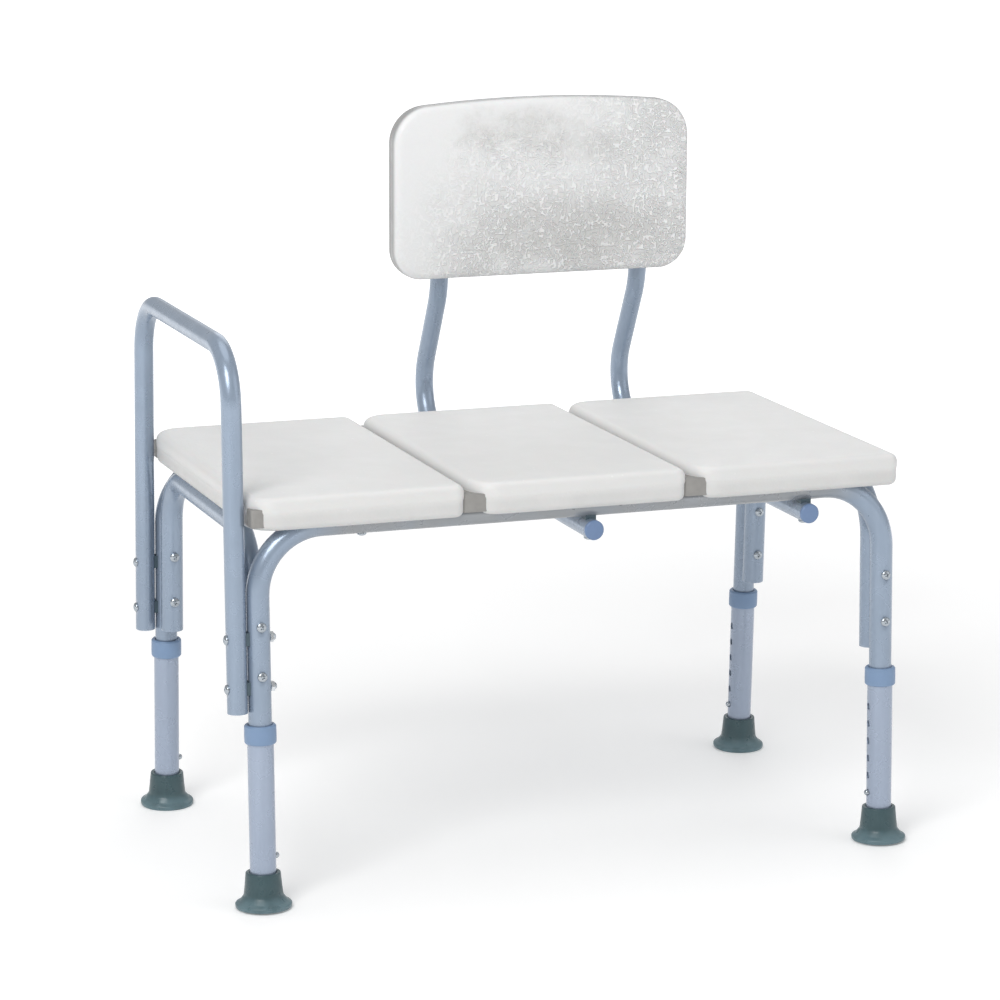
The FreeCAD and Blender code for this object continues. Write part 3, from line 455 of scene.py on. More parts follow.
def settled(rough, name):
    """Plain mesh of an object as its modifiers leave it; the object it came from goes."""
    graph = bpy.context.evaluated_depsgraph_get()
    mesh = bpy.data.meshes.new_from_object(rough.evaluated_get(graph), depsgraph=graph)
    old = rough.data
    bpy.data.objects.remove(rough)
    (bpy.data.meshes if isinstance(old, bpy.types.Mesh) else bpy.data.curves).remove(old)
    mesh.name = name
    return link(bpy.data.objects.new(name, mesh))


def sharpen(piece, degrees):
    """Smooth faces, crisp where they meet at more than an angle, with wear stored along the edges."""
    mesh = piece.data
    mesh.polygons.foreach_set("use_smooth", [True] * len(mesh.polygons))
    mesh.set_sharp_from_angle(angle=math.radians(degrees))
    shape = bmesh.new()
    shape.from_mesh(mesh)
    wear = [0.0] * len(mesh.vertices)
    for edge in shape.edges:
        if len(edge.link_faces) == 2:
            turn = edge.calc_face_angle(0.0)
            if turn > WEAR_ANGLE:
                value = min(1.0, (turn - WEAR_ZERO) * WEAR_RATE)
                for vertex in edge.verts:
                    wear[vertex.index] = max(wear[vertex.index], value)
    shape.free()
    mesh.attributes.new("wear", "FLOAT", "POINT").data.foreach_set("value", wear)
    return piece


def show(piece, body, slot, *nodes):
    """Hang a piece on the body it rides on, and hide the CAD nodes it stands for; slot is not used."""
    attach(piece, body)
    if nodes:
        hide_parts(*nodes)
    return piece


class Tree:
    """A Geometry Nodes tree with named inputs, and short ways to add and join nodes."""

    def __init__(self, name, inputs):
        self.group = bpy.data.node_groups.new(name, "GeometryNodeTree")
        side = self.group.interface
        side.new_socket("Geometry", in_out="INPUT", socket_type="NodeSocketGeometry")
        self.sockets = {}
        for label, kind, value in inputs:
            socket = side.new_socket(label, in_out="INPUT", socket_type="NodeSocket" + kind)
            if value is not None:
                socket.default_value = value
            self.sockets[label] = socket.identifier
        side.new_socket("Geometry", in_out="OUTPUT", socket_type="NodeSocketGeometry")
        self.start = self.add("NodeGroupInput")
        self.end = self.add("NodeGroupOutput")

    def add(self, kind, **settings):
        node = self.group.nodes.new(kind)
        for key, value in settings.items():
            setattr(node, key, value)
        return node

    def join(self, out, into):
        self.group.links.new(out, into)

    def feed(self, node, **values):
        """Set or link a node's inputs by name, with underscores for spaces."""
        for key, value in values.items():
            socket = node.inputs[key.replace("_", " ")]
            if isinstance(value, bpy.types.NodeSocket):
                self.join(value, socket)
            else:
                socket.default_value = value
        return node

    def vector(self, operation, a, b=None, scale=None):
        node = self.add("ShaderNodeVectorMath", operation=operation)
        self.join(a, node.inputs[0])
        if b is not None:
            self.join(b, node.inputs[1])
        if scale is not None:
            self.join(scale, node.inputs["Scale"])
        return node.outputs["Value"] if operation in ("DOT_PRODUCT", "LENGTH") else node.outputs["Vector"]

    def number(self, operation, a, b):
        node = self.add("ShaderNodeMath", operation=operation)
        for socket, value in zip(node.inputs, (a, b)):
            if isinstance(value, bpy.types.NodeSocket):
                self.join(value, socket)
            else:
                socket.default_value = value
        return node.outputs[0]

    def close(self, geometry, finish):
        """Realize the instances, set the finish, and end the tree."""
        real = self.add("GeometryNodeRealizeInstances")
        self.join(geometry, real.inputs[0])
        coat = self.add("GeometryNodeSetMaterial")
        self.join(real.outputs[0], coat.inputs["Geometry"])
        self.join(finish, coat.inputs["Material"])
        self.join(coat.outputs[0], self.end.inputs[0])

    def put_on(self, thing, **values):
        """Add the tree to an object as a modifier, its inputs set by identifier."""
        modifier = thing.modifiers.new(self.group.name, "NODES")
        modifier.node_group = self.group
        for key, value in values.items():
            modifier[self.sockets[key.replace("_", " ")]] = value


def marks(name, spots):
    """Loose points, each with the way it faces."""
    mesh = bpy.data.meshes.new(name)
    mesh.from_pydata([tuple(at) for at, _ in spots], [], [])
    ways = mesh.attributes.new("way", "FLOAT_VECTOR", "POINT")
    for item, (_, way) in zip(ways.data, spots):
        item.vector = way
    return link(bpy.data.objects.new(name, mesh))


# ---- bent tubes
def bent_tube_tree():
    """Sweeps a round tube along a centre line with filleted bends, and presses in bolt seats."""
    tree = Tree("bent_tube", [
        ("Tube Radius", "Float", TUBE_R), ("Bend Steps", "Int", BEND_STEPS),
        ("Ring Spacing", "Float", RING_SPACING), ("Round Steps", "Int", ROUND_STEPS),
        ("Bolt Seats", "Object", None), ("Seat Depth", "Float", SEAT_DEPTH),
        ("Seat Length", "Float", 0.0105), ("Finish", "Material", None)])
    given = tree.start.outputs
    bend = tree.add("GeometryNodeInputRadius")
    fillet = tree.feed(tree.add("GeometryNodeFilletCurve", mode="POLY"),
                       Curve=given["Geometry"], Count=given["Bend Steps"], Radius=bend.outputs[0])
    plain = tree.feed(tree.add("GeometryNodeSetCurveRadius"), Curve=fillet.outputs[0], Radius=1.0)
    even = tree.feed(tree.add("GeometryNodeResampleCurve", mode="LENGTH"),
                     Curve=plain.outputs[0], Length=given["Ring Spacing"])
    ring = tree.feed(tree.add("GeometryNodeCurvePrimitiveCircle"),
                     Resolution=given["Round Steps"], Radius=given["Tube Radius"])
    skin = tree.feed(tree.add("GeometryNodeCurveToMesh"), Curve=even.outputs[0])
    tree.join(ring.outputs[0], skin.inputs["Profile Curve"])
    seats = tree.feed(tree.add("GeometryNodeObjectInfo"), Object=given["Bolt Seats"])
    here = tree.add("GeometryNodeInputPosition").outputs[0]
    near = tree.add("GeometryNodeSampleNearest", domain="POINT")
    tree.join(seats.outputs["Geometry"], near.inputs[0])
    found = []
    way = tree.feed(tree.add("GeometryNodeInputNamedAttribute", data_type="FLOAT_VECTOR"), Name="way")
    for field in (here, way.outputs[0]):
        sample = tree.add("GeometryNodeSampleIndex", data_type="FLOAT_VECTOR", domain="POINT")
        tree.join(seats.outputs["Geometry"], sample.inputs[0])
        tree.join(field, sample.inputs["Value"])
        tree.join(near.outputs[0], sample.inputs["Index"])
        found.append(sample.outputs[0])
    centre, out = found
    arm = tree.vector("SUBTRACT", here, centre)
    height = tree.vector("DOT_PRODUCT", arm, out)
    aside = tree.vector("LENGTH", tree.vector("SUBTRACT", arm, tree.vector("SCALE", out, scale=height)))
    fade = tree.feed(tree.add("ShaderNodeMapRange", interpolation_type="SMOOTHERSTEP"),
                     Value=aside, To_Min=1.0, To_Max=0.0)
    tree.join(tree.number("MULTIPLY", given["Seat Length"], 0.55), fade.inputs["From Min"])
    tree.join(given["Seat Length"], fade.inputs["From Max"])
    floor = tree.number("MULTIPLY", fade.outputs[0], tree.number("MULTIPLY", given["Seat Depth"], -1.0))
    near_seat = tree.number("LESS_THAN", aside, given["Seat Length"])
    press = tree.number("SUBTRACT", tree.number("MINIMUM", height, floor), height)
    press = tree.number("MULTIPLY", press, near_seat)
    pressed = tree.feed(tree.add("GeometryNodeSetPosition"), Geometry=skin.outputs[0])
    tree.join(tree.vector("SCALE", out, scale=press), pressed.inputs["Offset"])
    tree.close(pressed.outputs[0], given["Finish"])
    return tree


BENT_TUBE = bent_tube_tree()


def bent_tube(name, corners, bends, radius, seats, finish=None):
    """Hollow bent tube with pressed bolt seats, from its centre line's corner points."""
    curve = bpy.data.curves.new(name + "_line", "CURVE")
    curve.dimensions = "3D"
    line = curve.splines.new("POLY")
    line.points.add(len(corners) - 1)
    for point, corner, bend in zip(line.points, corners, [0.0, *bends, 0.0]):
        point.co = (*corner, 1.0)
        point.radius = bend
    path = link(bpy.data.objects.new(name + "_line", curve))
    points = marks(name + "_seats", seats)
    BENT_TUBE.put_on(path, Tube_Radius=radius, Bolt_Seats=points, Finish=finish or PAINT)
    skin = settled(path, name + "_skin")
    bpy.data.objects.remove(points)
    faces = skin.data.polygons
    middle = sum((v.co for v in skin.data.vertices[:ROUND_STEPS]), Vector()) / ROUND_STEPS
    if (faces[0].center - middle).dot(faces[0].normal) < 0:
        skin.data.flip_normals()
    wall = skin.modifiers.new("wall", "SOLIDIFY")
    wall.thickness = TUBE_WALL
    wall.offset = -1.0
    wall.use_rim = True
    return sharpen(settled(skin, name), CRISP_TUBE)


# Each of these gives (point on the tube's skin, way out) for the bolts of one place.
def corner_outer(sx, sy):
    return [(leg_spot(sx, sy, 0, TUBE_R, CORNER_BOLTS[level]), leg_way(sy)) for level in LEVELS]


def corner_inner(sx, sy):
    inward = -SIDE_INSET - TUBE_R
    return [(leg_spot(sx, sy, 0, inward, CORNER_BOLTS[level]), -leg_way(sy)) for level in LEVELS]


def corner_heads(sx, sy):
    return corner_outer(sx, sy) if sy < 0 else corner_inner(sx, sy)


def corner_tails(sx, sy):
    return corner_inner(sx, sy) if sy < 0 else corner_outer(sx, sy)


def arm_heads(sy):
    out = -(2 * ARM_R + TUBE_GAP + TUBE_R)
    return [(leg_spot(-1, sy, out, 0, ARM_BOLTS[level]), Vector((-1, 0, 0))) for level in LEVELS]


def arm_tails(sy):
    return [(leg_spot(-1, sy, TUBE_R, 0, ARM_BOLTS[level]), Vector((1, 0, 0))) for level in LEVELS]


def back_x(sx):
    return BACK_TUBE_MID + sx * BACK_TUBE_HALF


DOWN, BACKWARD = Vector((0, 0, -1)), Vector((0, 1, 0))
seat_screw_x = (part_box("seat_screws")[0].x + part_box("seat_screws")[1].x) / 2 - MID.x


def seat_screw_heads(sy):
    return [(spot(seat_screw_x, sy * leg_line(BAR_HEIGHT), BAR_HEIGHT - TUBE_R), DOWN)]


def back_bolt_heads(sx):
    return [(spot(back_x(sx), sy * leg_line(BAR_HEIGHT), BACK_RUN - ARM_R), DOWN) for _, sy in ENDS]


def back_screw_heads(sx):
    return [(spot(back_x(sx), BACK_UPRIGHT + ARM_R, BACK_SCREWS[level]), BACKWARD) for level in LEVELS]


for end, sy in ENDS:
    top = BAR_HEIGHT / math.cos(SPLAY)
    corners = [leg_spot(sx, sy, 0, 0, up) for sx, up in
               ((-1, LEG_END), (-1, top), (1, top), (1, LEG_END))]
    seats = corner_outer(-1, sy) + corner_outer(1, sy) + arm_tails(sy) + seat_screw_heads(sy)
    tube = bent_tube(f"long_tube_{end}", corners, [LONG_BEND] * 2, TUBE_R, seats, BAR_PAINT)
    show(tube, "frame", "painted_tube", f"long_frame_{end}")

for side, sx in SIDES:
    inset = SIDE_INSET / math.cos(SPLAY)
    low, high = leg_line(SIDE_END) - inset, leg_line(SIDE_BAR) - inset
    corners = [spot(sx * LEG_SPREAD, y, z) for y, z in
               ((-low, SIDE_END), (-high, SIDE_BAR), (high, SIDE_BAR), (low, SIDE_END))]
    tube = bent_tube(f"side_tube_{side}", corners, [SIDE_BEND] * 2, TUBE_R,
                     corner_inner(sx, -1) + corner_inner(sx, 1))
    show(tube, "frame", "painted_tube", f"side_frame_{side}")

low, high = leg_line(ARM_END), leg_line(ARM_TOP)
corners = [spot(-ARM_X, y, z) for y, z in
           ((-low, ARM_END), (-high, ARM_TOP), (high, ARM_TOP), (low, ARM_END))]
show(bent_tube("armrest_hoop", corners, [ARM_BEND] * 2, ARM_R, arm_heads(-1) + arm_heads(1)),
     "frame", "painted_tube", "armrest_tube")

knee = BACK_RUN + (BACK_LEAN_FOOT - BACK_UPRIGHT) / math.tan(BACK_LEAN)
for side, sx in SIDES:
    corners = [spot(back_x(sx), y, z) for y, z in
               ((-BACK_TUBE_FRONT, BACK_RUN), (BACK_LEAN_FOOT, BACK_RUN), (BACK_UPRIGHT, knee),
                (BACK_UPRIGHT, BACK_TUBE_TOP))]
    tube = bent_tube(f"back_tube_{side}", corners, [BACK_LOW_BEND, BACK_HIGH_BEND], ARM_R,
                     back_bolt_heads(sx) + back_screw_heads(sx))
    show(tube, "frame", "painted_tube", f"backrest_tube_{side}")


# ---- turned pieces
def turned(name, profile, finish, place, steps=64):
    """Solid of revolution from (radius, height) pairs, set in place by a matrix."""
    shape = bmesh.new()
    rings = []
    for radius, height in profile:
        if radius < 1e-7:
            rings.append([shape.verts.new((0, 0, height))])
        else:
            rings.append([shape.verts.new((radius * math.cos(a), radius * math.sin(a), height))
                          for a in (math.tau * n / steps for n in range(steps))])
    for below, above in zip(rings, rings[1:]):
        for n in range(steps):
            m = (n + 1) % steps
            corners = [below[n % len(below)], below[m % len(below)],
                       above[m % len(above)], above[n % len(above)]]
            kept = [v for i, v in enumerate(corners) if v not in corners[:i]]
            if len(kept) > 2:
                shape.faces.new(kept)
    shape.transform(place)
    return sharpen(mesh_piece(name, shape, [finish]), CRISP)


def rounded(points, steps=5):
    """Profile whose marked corners are rounded: (radius, height, fillet) triples."""
    out = []
    count = len(points)
    for n, (r, h, fillet) in enumerate(points):
        if fillet <= 0 or n in (0, count - 1):
            out.append((r, h))
            continue
        here = Vector((r, h))
        back = (Vector(points[n - 1][:2]) - here).normalized()
        ahead = (Vector(points[n + 1][:2]) - here).normalized()
        half = back.angle(ahead) / 2
        reach = fillet / math.tan(half)
        centre = here + (back + ahead).normalized() * fillet / math.sin(half)
        first, last = here + back * reach - centre, here + ahead * reach - centre
        sweep = first.angle_signed(last)
        for s in range(steps + 1):
            turn = Matrix.Rotation(-sweep * s / steps, 2)
            out.append(tuple(centre + turn @ first))
    return out


def leg_matrix(sx, sy):
    """Stands a leg's own axes on the floor at its foot, leaning with the splay."""
    return Matrix.Translation(leg_spot(sx, sy, 0, 0, 0)) @ Matrix.Rotation(sy * SPLAY, 4, "X")


# Profiles of (radius, height, fillet) on the leg's axis.
FOOT_PROFILE = rounded([
    (0.0, 0.0012, 0), (0.0100, 0.0012, 0), (0.0104, 0.0004, 0), (0.0150, 0.0004, 0), (0.0154, 0.0014, 0),
    (0.0190, 0.0014, 0), (0.0194, 0.0004, 0), (0.0240, 0.0004, 0), (0.0244, 0.0014, 0), (0.0276, 0.0014, 0),
    (0.0280, 0.0004, 0.0004), (0.0306, 0.0006, 0.0014), (0.0311, 0.0052, 0.0022), (0.0262, 0.0078, 0.004),
    (0.0216, 0.0138, 0.006), (0.0203, 0.0250, 0), (0.0190, 0.0394, 0.0011), (0.0152, 0.0394, 0.0006),
    (0.01445, 0.0380, 0), (0.01445, 0.0090, 0), (0.0, 0.0090, 0)])
COLLAR_PROFILE = rounded([
    (0.01440, 0.1824, 0), (0.0163, 0.1824, 0.0004), (0.0173, 0.1838, 0.0008), (0.01745, 0.1900, 0),
    (0.01730, 0.2014, 0.0008), (0.0160, 0.2030, 0.0007), (0.01315, 0.2030, 0.0004), (0.01305, 0.2006, 0),
    (0.01440, 0.2005, 0), (0.01440, 0.1824, 0)])
SLEEVE_PROFILE = [(SLEEVE_BORE, SLEEVE_LOW), (SLEEVE_R, SLEEVE_LOW), (SLEEVE_R, SLEEVE_TOP),
                  (SLEEVE_BORE, SLEEVE_TOP), (SLEEVE_BORE, SLEEVE_LOW)]
HOLES = [HOLE_FIRST + HOLE_STEP * n for n in range(HOLE_COUNT)]


def carve(piece, cutter, name):
    """Cut one mesh from another and keep the plain result."""
    bite = piece.modifiers.new("bite", "BOOLEAN")
    bite.operation = "DIFFERENCE"
    bite.solver = "EXACT"
    bite.object = cutter
    out = settled(piece, name)
    bpy.data.objects.remove(cutter)
    return sharpen(out, CRISP)


def sleeve(name, sx, place):
    """Outer leg tube with its row of adjusting holes on the side that faces the seat."""
    tube = turned("sleeve_blank", SLEEVE_PROFILE, SLEEVE_PAINT, place)
    shape = bmesh.new()
    for height in HOLES:
        wall = (-sx * (SLEEVE_BORE + SLEEVE_R) / 2, 0, height)
        lie = Matrix.Translation(wall) @ Matrix.Rotation(math.pi / 2, 4, "Y")
        bmesh.ops.create_cone(shape, cap_ends=True, segments=28, radius1=HOLE_R, radius2=HOLE_R,
                              depth=0.008, matrix=place @ lie)
    return carve(tube, mesh_piece("hole_tool", shape, [SLEEVE_PAINT], False), f"leg_sleeve_tube_{name}")


for name, sx, sy in LEGS:
    place = leg_matrix(sx, sy)
    show(sleeve(name, sx, place), f"leg_{name}", "painted_tube", f"leg_sleeve_{name}")
    foot = turned(f"rubber_tip_{name}", FOOT_PROFILE, RUBBER, place)
    for vertex in foot.data.vertices:       # the leaning foot is flattened against the floor
        vertex.co.z = max(vertex.co.z, 0.0)
    show(foot, f"leg_{name}", "foot_rubber", f"rubber_foot_{name}")
    collar = turned(f"clamp_collar_{name}", COLLAR_PROFILE, COLLAR, place)
    show(collar, f"leg_{name}", "collar_plastic", f"leg_collar_{name}")

PLUG_PROFILE = rounded([
    (0.0, -0.0040, 0), (0.0099, -0.0039, 0.0014), (0.0111, -0.0026, 0.0006), (0.0111, 0.0, 0.0002),
    (0.0094, 0.0, 0), (0.0094, 0.0088, 0), (0.0, 0.0090, 0)])
for side, sx in SIDES:
    mouth = spot(back_x(sx), -BACK_TUBE_FRONT, BACK_RUN)
    place = Matrix.Translation(mouth) @ Matrix.Rotation(-math.pi / 2, 4, "X")
    plug = turned(f"tube_plug_{side}", PLUG_PROFILE, PLUG, place, 48)
    show(plug, "frame", "plug_plastic", f"backrest_plug_{side}")


# ---- moulded panels
def round_cornered(low, high, left, right, steps=14):
    """Outline of a rectangle with round corners, as a function of how far it is drawn in."""
    middle = Vector(((low[0] + high[0]) / 2, (low[1] + high[1]) / 2))
    half = Vector(((high[0] - low[0]) / 2, (high[1] - low[1]) / 2))

    def rim(inset):
        points = []
        for sx, sy, start in ((1, -1, -90), (1, 1, 0), (-1, 1, 90), (-1, -1, 180)):
            turn = max((left if sx < 0 else right) - inset, 0.003)
            centre = middle + Vector((sx * (half.x - inset - turn), sy * (half.y - inset - turn)))
            for n in range(steps + 1):
                a = math.radians(start + 90 * n / steps)
                points.append(centre + Vector((math.cos(a), math.sin(a))) * turn)
        return points

    return rim


def slab(rim, profile, lay):
    """Closed slab: the outline drawn in by each inset of the profile, and capped."""
    shape = bmesh.new()
    rings = []
    for inset, height in profile:
        rings.append([shape.verts.new(lay(at, height)) for at in rim(inset)])
    count = len(rings[0])
    for below, above in zip(rings, rings[1:]):
        for n in range(count):
            m = (n + 1) % count
            shape.faces.new((below[n], below[m], above[m], above[n]))
    shape.faces.new(rings[0])
    shape.faces.new(rings[-1])
    return shape


def top_edge(radius, top, steps=7):
    """Insets and heights round the top edge of a slab, from its flat to its side."""
    turns = [math.pi / 2 * n / steps for n in range(steps + 1)]
    return [(radius - radius * math.sin(a), top - radius + radius * math.cos(a)) for a in turns]


def under_edge(radius, inset, steps):
    """Insets and heights round the bottom edge of a slab, from its side to its flat."""
    turns = [math.pi / 2 * n / steps for n in range(steps + 1)]
    return [(inset + radius - radius * math.cos(a), radius - radius * math.sin(a)) for a in turns]


def panel_profile(thick):
    """From the middle of the top, round the edge and its parting groove, to the underside."""
    top = [(0.045, thick + 0.0002), (0.020, thick + 0.0001), (0.0125, thick)]
    groove = [(0.0, 0.0215), (0.0003, 0.0200), (0.0006, 0.0190), (0.0008, 0.0178), (0.0007, 0.0168),
              (0.0007, 0.0160)]
    under = [(0.0125, 0.0), (0.0160, 0.0), (0.0172, 0.0012), (0.0400, 0.0016)]
    return top + top_edge(EDGE_ROUND, thick) + groove + under_edge(0.0075, 0.0007, 6) + under


TONGUE_PROFILE = [(0.0012, 0.0), (0.0003, 0.0004), (0.0, 0.0012), (0.0, 0.0188), (0.0003, 0.0196),
                  (0.0012, 0.0200)]
for place_name in ("left", "middle", "right"):
    node = f"seat_panel_{place_name}"
    low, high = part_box(node)
    out = -TONGUE_SUNK if place_name == "left" else TONGUE_OUT
    low = low + Vector((max(out, 0.0), 0, 0))
    rim = round_cornered(low, high, PANEL_CORNER_LEFT, PANEL_CORNER_RIGHT)
    shape = slab(rim, panel_profile(high.z - low.z), lambda at, h: (at.x, at.y, low.z + h))
    panel = sharpen(mesh_piece(f"seat_board_{place_name}", shape, [SEAT]), CRISP_PANEL)
    show(panel, "frame", "seat_plastic", node)
    lip_low = Vector((low.x - out, low.y + TONGUE_SETBACK, low.z + TONGUE_LIFT))
    lip_high = Vector((low.x + TONGUE_ROOT, high.y - TONGUE_SETBACK, low.z + TONGUE_TOP))
    rim = round_cornered(lip_low, lip_high, TONGUE_CORNER, TONGUE_CORNER, 6)
    shape = slab(rim, TONGUE_PROFILE, lambda at, h: (at.x, at.y, lip_low.z + h))
    tongue = sharpen(mesh_piece(f"seat_tongue_{place_name}", shape, [TONGUE_SHADE]), CRISP_PANEL)
    show(tongue, "frame", "seat_plastic")


def back_rim(low, high, steps=16):
    """Outline of the backrest: round lower corners, and a gently arched top."""
    half = (high.x - low.x) / 2
    mid = (high.x + low.x) / 2
    arch = (half * half + BACK_RISE * BACK_RISE) / (2 * BACK_RISE)
    rim = []

    def arc(cx, cz, radius, start, finish, count):
        for n in range(count + 1):
            a = math.radians(start + (finish - start) * n / count)
            way = Vector((math.cos(a), math.sin(a)))
            rim.append((Vector((cx, cz)) + way * radius, way))

    centre = high.z - arch
    reach = half - BACK_CROWN
    lean = math.asin(reach / (arch - BACK_CROWN))
    crown_z = centre + (arch - BACK_CROWN) * math.cos(lean)
    right_end, left_end = 90 - math.degrees(lean), 90 + math.degrees(lean)
    arc(mid + half - BACK_CORNER, low.z + BACK_CORNER, BACK_CORNER, -90, 0, steps)
    arc(mid + reach, crown_z, BACK_CROWN, 0, right_end, steps)
    arc(mid, centre, arch, right_end, left_end, 40)
    arc(mid - reach, crown_z, BACK_CROWN, left_end, 180, steps)
    arc(mid - half + BACK_CORNER, low.z + BACK_CORNER, BACK_CORNER, 180, 270, steps)
    return lambda inset: [at - way * inset for at, way in rim]


low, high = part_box("backrest_panel")
profile = [(0.030, BACK_THICK + 0.0003), (0.016, BACK_THICK + 0.0001), (0.0115, BACK_THICK - 0.0002)]
profile += top_edge(EDGE_ROUND, BACK_THICK - 0.0004)
profile += [(0.0, 0.0125), (0.0008, 0.0115), (0.0011, 0.0105), (0.0008, 0.0095), (0.0006, 0.0088)]
profile += under_edge(0.005, 0.0006, 5) + [(0.009, 0.0), (0.012, 0.0010), (0.020, 0.0012)]
shape = slab(back_rim(low, high), profile, lambda at, h: (at.x, high.y - h, at.y))
board = sharpen(mesh_piece("back_board", shape, [BACK]), CRISP_PANEL)
show(board, "frame", "backrest_plastic", "backrest_panel")


# ---- bolts, nuts and screws
def scattered_tree():
    """Puts one fastener on each mark, facing the mark's way and turned by chance about it."""
    tree = Tree("fastener_set", [
        ("Fastener", "Object", None), ("Size", "Float", 1.0), ("Turn Seed", "Int", 5),
        ("Finish", "Material", None)])
    given = tree.start.outputs
    way = tree.feed(tree.add("GeometryNodeInputNamedAttribute", data_type="FLOAT_VECTOR"), Name="way")
    face = tree.add("FunctionNodeAlignRotationToVector", axis="Z")
    tree.join(way.outputs[0], face.inputs["Vector"])
    chance = tree.add("FunctionNodeRandomValue", data_type="FLOAT")
    chance.inputs[3].default_value = math.tau
    tree.join(given["Turn Seed"], chance.inputs["Seed"])
    twist = tree.add("FunctionNodeAxisAngleToRotation")
    twist.inputs["Axis"].default_value = (0, 0, 1)
    tree.join(chance.outputs[1], twist.inputs["Angle"])
    turn = tree.add("FunctionNodeRotateRotation", rotation_space="LOCAL")
    tree.join(face.outputs[0], turn.inputs[0])
    tree.join(twist.outputs[0], turn.inputs[1])
    master = tree.feed(tree.add("GeometryNodeObjectInfo"), Object=given["Fastener"])
    rows = tree.add("GeometryNodeInstanceOnPoints")
    tree.join(given["Geometry"], rows.inputs["Points"])
    tree.join(master.outputs["Geometry"], rows.inputs["Instance"])
    tree.join(turn.outputs[0], rows.inputs["Rotation"])
    size = tree.add("ShaderNodeCombineXYZ")
    for socket in size.inputs:
        tree.join(given["Size"], socket)
    tree.join(size.outputs[0], rows.inputs["Scale"])
    tree.close(rows.outputs[0], given["Finish"])
    return tree


FASTENERS = scattered_tree()


def cross_head():
    """Domed bolt head with a cross recess and a short length of shank under it."""
    edge = math.radians(DOME_TURN)
    swell = (HEAD_HEIGHT - 0.0010) / (1 - math.cos(edge))
    profile = [(0.0, HEAD_HEIGHT - 0.0006)]
    for n in range(1, 9):
        a = math.radians(DOME_TURN * n / 8)
        profile.append((HEAD_R * math.sin(a) / math.sin(edge),
                        HEAD_RIM + swell * (math.cos(a) - math.cos(edge))))
    profile += [(HEAD_R, 0.0), (HEAD_R - 0.0003, -SEAT_DEPTH), (SHANK_R + 0.0001, -SEAT_DEPTH),
                (SHANK_R, -SHANK_LENGTH), (0.0, -SHANK_LENGTH)]
    head = turned("head_blank", profile, ZINC, Matrix.Identity(4), 40)
    for turn in (0, math.pi / 2):
        shape = bmesh.new()
        corners = []
        for z, long, wide in ((HEAD_HEIGHT + 0.001, 0.0033, 0.0008),
                              (HEAD_HEIGHT - 0.0024, 0.0014, 0.00045)):
            for x, y in ((-long, -wide), (long, -wide), (long, wide), (-long, wide)):
                corners.append(shape.verts.new(Matrix.Rotation(turn, 3, "Z") @ Vector((x, y, z))))
        for face in ((0, 1, 2, 3), (7, 6, 5, 4), (0, 4, 5, 1), (1, 5, 6, 2), (2, 6, 7, 3), (3, 7, 4, 0)):
            shape.faces.new([corners[n] for n in face])
        head = carve(head, mesh_piece("cross_tool", shape, [ZINC], False), "cross_head")
    return head


def cap_nut():
    """Small cap nut: a chamfered hexagon with a low dome on it."""
    shape = bmesh.new()
    tip = 0.0050 / math.cos(math.pi / 6)
    levels = [(tip * 0.86, -SEAT_DEPTH), (tip, -SEAT_DEPTH + 0.0007), (tip, 0.0034), (tip * 0.90, 0.0041)]
    turns = [math.tau * n / 6 for n in range(6)]
    rings = [[shape.verts.new((radius * math.cos(a), radius * math.sin(a), z)) for a in turns]
             for radius, z in levels]
    for below, above in zip(rings, rings[1:]):
        for n in range(6):
            shape.faces.new((below[n], below[(n + 1) % 6], above[(n + 1) % 6], above[n]))
    shape.faces.new(rings[0])
    shape.faces.new(rings[-1])
    body = sharpen(mesh_piece("nut_hexagon", shape, [ZINC]), CRISP_HEXAGON)
    profile = [(0.0, 0.0068)]
    for n in range(1, 8):
        a = math.pi / 2 * n / 7
        profile.append((0.0040 * math.sin(a), 0.0040 + 0.0028 * math.cos(a)))
    profile += [(0.0040, 0.0035), (0.0, 0.0035)]
    dome = turned("nut_dome", profile, ZINC, Matrix.Identity(4), 32)
    with bpy.context.temp_override(active_object=body, selected_editable_objects=[body, dome]):
        bpy.ops.object.join()
    return body


def fastener_piece(name, spots, master, seed, node):
    """All the fasteners of one CAD node, scattered on their spots."""
    points = marks(name + "_marks", [(at, way.normalized()) for at, way in spots])
    FASTENERS.put_on(points, Fastener=master, Turn_Seed=seed, Finish=ZINC)
    show(sharpen(settled(points, name), CRISP), "frame", "zinc_steel", node)


def at_corners(spots):
    return [one for _, sx, sy in LEGS for one in spots(sx, sy)]


def at_both(spots):
    return [one for sign in SIGNS for one in spots(sign)]


head, nut = cross_head(), cap_nut()
fastener_piece("corner_bolt_heads", at_corners(corner_heads), head, 3, "corner_bolts")
fastener_piece("corner_cap_nuts", at_corners(corner_tails), nut, 8, "corner_nuts")
fastener_piece("armrest_bolt_heads", at_both(arm_heads), head, 12, "armrest_bolts")
fastener_piece("armrest_cap_nuts", at_both(arm_tails), nut, 15, "armrest_nuts")
fastener_piece("seat_screw_heads", at_both(seat_screw_heads), head, 21, "seat_screws")
fastener_piece("back_bolt_heads", at_both(back_bolt_heads), head, 27, "backrest_tube_bolts")
fastener_piece("back_screw_heads", at_both(back_screw_heads), head, 33, "backrest_screws")
bpy.data.objects.remove(head)
bpy.data.objects.remove(nut)

# ---- finishes on the CAD pieces kept
KEPT = {"snap_button": ZINC, "button_spring": SPRING, "corner_saddles": SADDLE,
        "armrest_saddles": SADDLE, "backrest_saddles": SADDLE}
for node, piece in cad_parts.items():
    for start, finish in KEPT.items():
        if node.startswith(start):
            piece.data.materials.clear()
            piece.data.materials.append(finish)


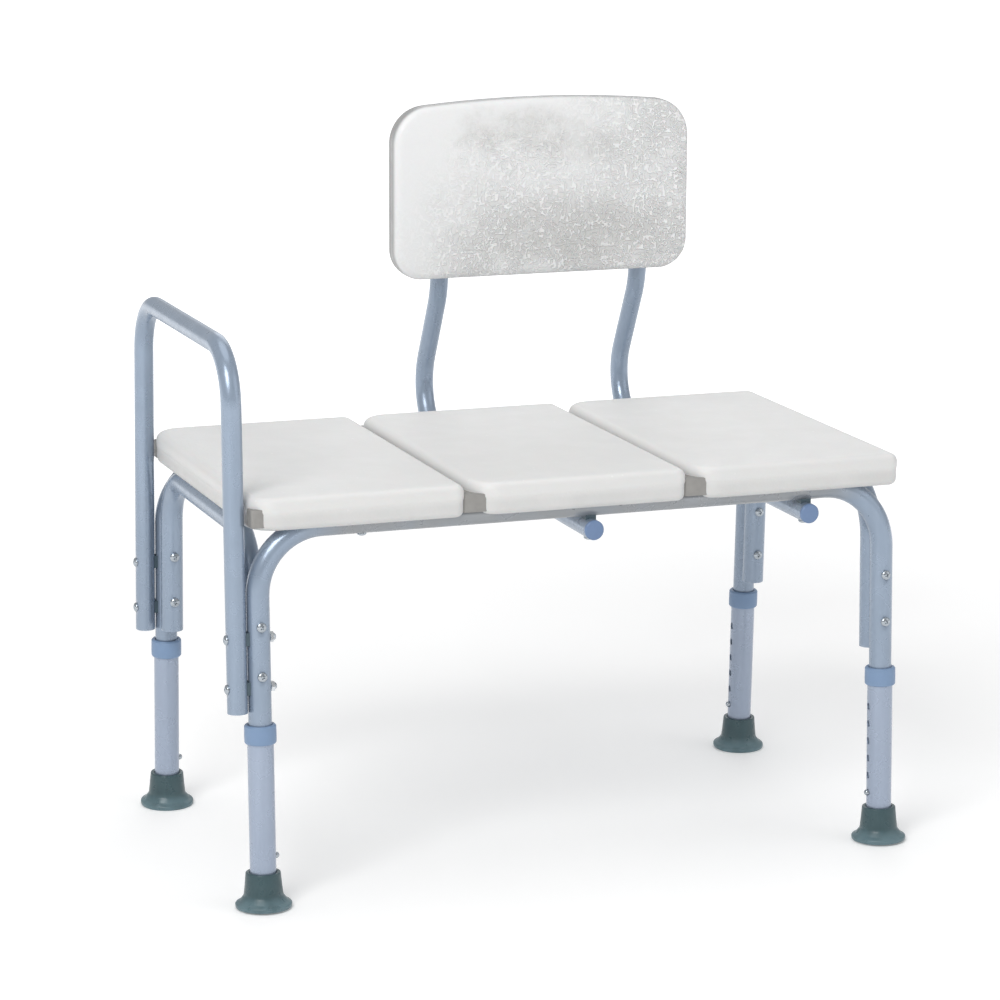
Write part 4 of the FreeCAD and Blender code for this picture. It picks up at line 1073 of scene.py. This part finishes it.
# ---- floor, light and camera
def studio():
    """Pale floor that brightens to white far off, four soft lamps and a white sky."""
    floor_finish = Finish("studio_floor")
    floor_finish.colour(floor_finish.blend(floor_finish.noise(3, 3),
                                           (0.93, 0.93, 0.93), (0.95, 0.95, 0.95)))
    floor_finish.rough(floor_finish.ramp(floor_finish.noise(20, 3), 0.3, 0.7, 0.75, 0.85))
    floor_finish.set(Emission_Color=(1, 1, 1, 1))
    away = floor_finish.add("ShaderNodeVectorMath", operation="LENGTH")
    floor_finish.join(floor_finish.place, away.inputs[0])
    glow = floor_finish.ramp(away.outputs["Value"], 0.9, 3.6, 0.14, 0.75)
    floor_finish.join(glow, floor_finish.shader.inputs["Emission Strength"])
    shape = bmesh.new()
    corners = [shape.verts.new((x, y, -0.0003)) for x, y in ((-30, -30), (30, -30), (30, 60), (-30, 60))]
    shape.faces.new(corners)
    floor = mesh_piece("studio_floor", shape, [floor_finish.material], False)
    for name, at, size, power, tint in (
            ("key_light", (-2.6, -2.8, 3.4), 2.4, 110, (1.0, 0.995, 0.985)),
            ("fill_light", (3.2, -2.2, 2.0), 3.0, 16, (0.96, 0.98, 1.0)),
            ("top_light", (0.0, 0.4, 4.2), 3.5, 34, (1.0, 1.0, 1.0)),
            ("rim_light", (1.5, 3.4, 2.4), 2.4, 16, (0.95, 0.97, 1.0))):
        lamp = bpy.data.lights.new(name, "AREA")
        lamp.shape = "DISK"
        lamp.size = size
        lamp.energy = power
        lamp.color = tint
        holder = link(bpy.data.objects.new(name, lamp))
        holder.location = at
        holder.rotation_euler = (Vector((0, 0, 0.4)) - Vector(at)).to_track_quat("-Z", "Y").to_euler()
    world = bpy.data.worlds.new("studio_world")
    world.use_nodes = True
    sky = world.node_tree.nodes["Background"]
    sky.inputs["Color"].default_value = (1, 1, 1, 1)
    seen = world.node_tree.nodes.new("ShaderNodeLightPath")
    power = world.node_tree.nodes.new("ShaderNodeMapRange")
    power.inputs["To Min"].default_value = 0.50
    power.inputs["To Max"].default_value = 1.0
    world.node_tree.links.new(seen.outputs["Is Camera Ray"], power.inputs["Value"])
    world.node_tree.links.new(power.outputs[0], sky.inputs["Strength"])
    bpy.context.scene.world = world
    bpy.context.scene.view_settings.view_transform = "Standard"


def aim_camera():
    """Long lens from the front left, a little above the seat."""
    stand = spot(-1.4472, -3.8859, 1.2976)
    turn, dip, roll = 0.3511, 0.2173, 0.0049
    ahead = Vector((math.sin(turn) * math.cos(dip), math.cos(turn) * math.cos(dip), -math.sin(dip)))
    level = Vector((math.cos(turn), -math.sin(turn), 0))
    rise = level.cross(ahead)
    right = level * math.cos(roll) + rise * math.sin(roll)
    up = rise * math.cos(roll) - level * math.sin(roll)
    lens = bpy.data.cameras.new("bench_camera")
    lens.lens = 133.88
    lens.sensor_width = 36.0
    lens.clip_end = 200
    holder = link(bpy.data.objects.new("bench_camera", lens))
    spin = Matrix((right, up, -ahead)).transposed().to_4x4()
    holder.matrix_world = Matrix.Translation(stand) @ spin
    bpy.context.scene.camera = holder


studio()
aim_camera()
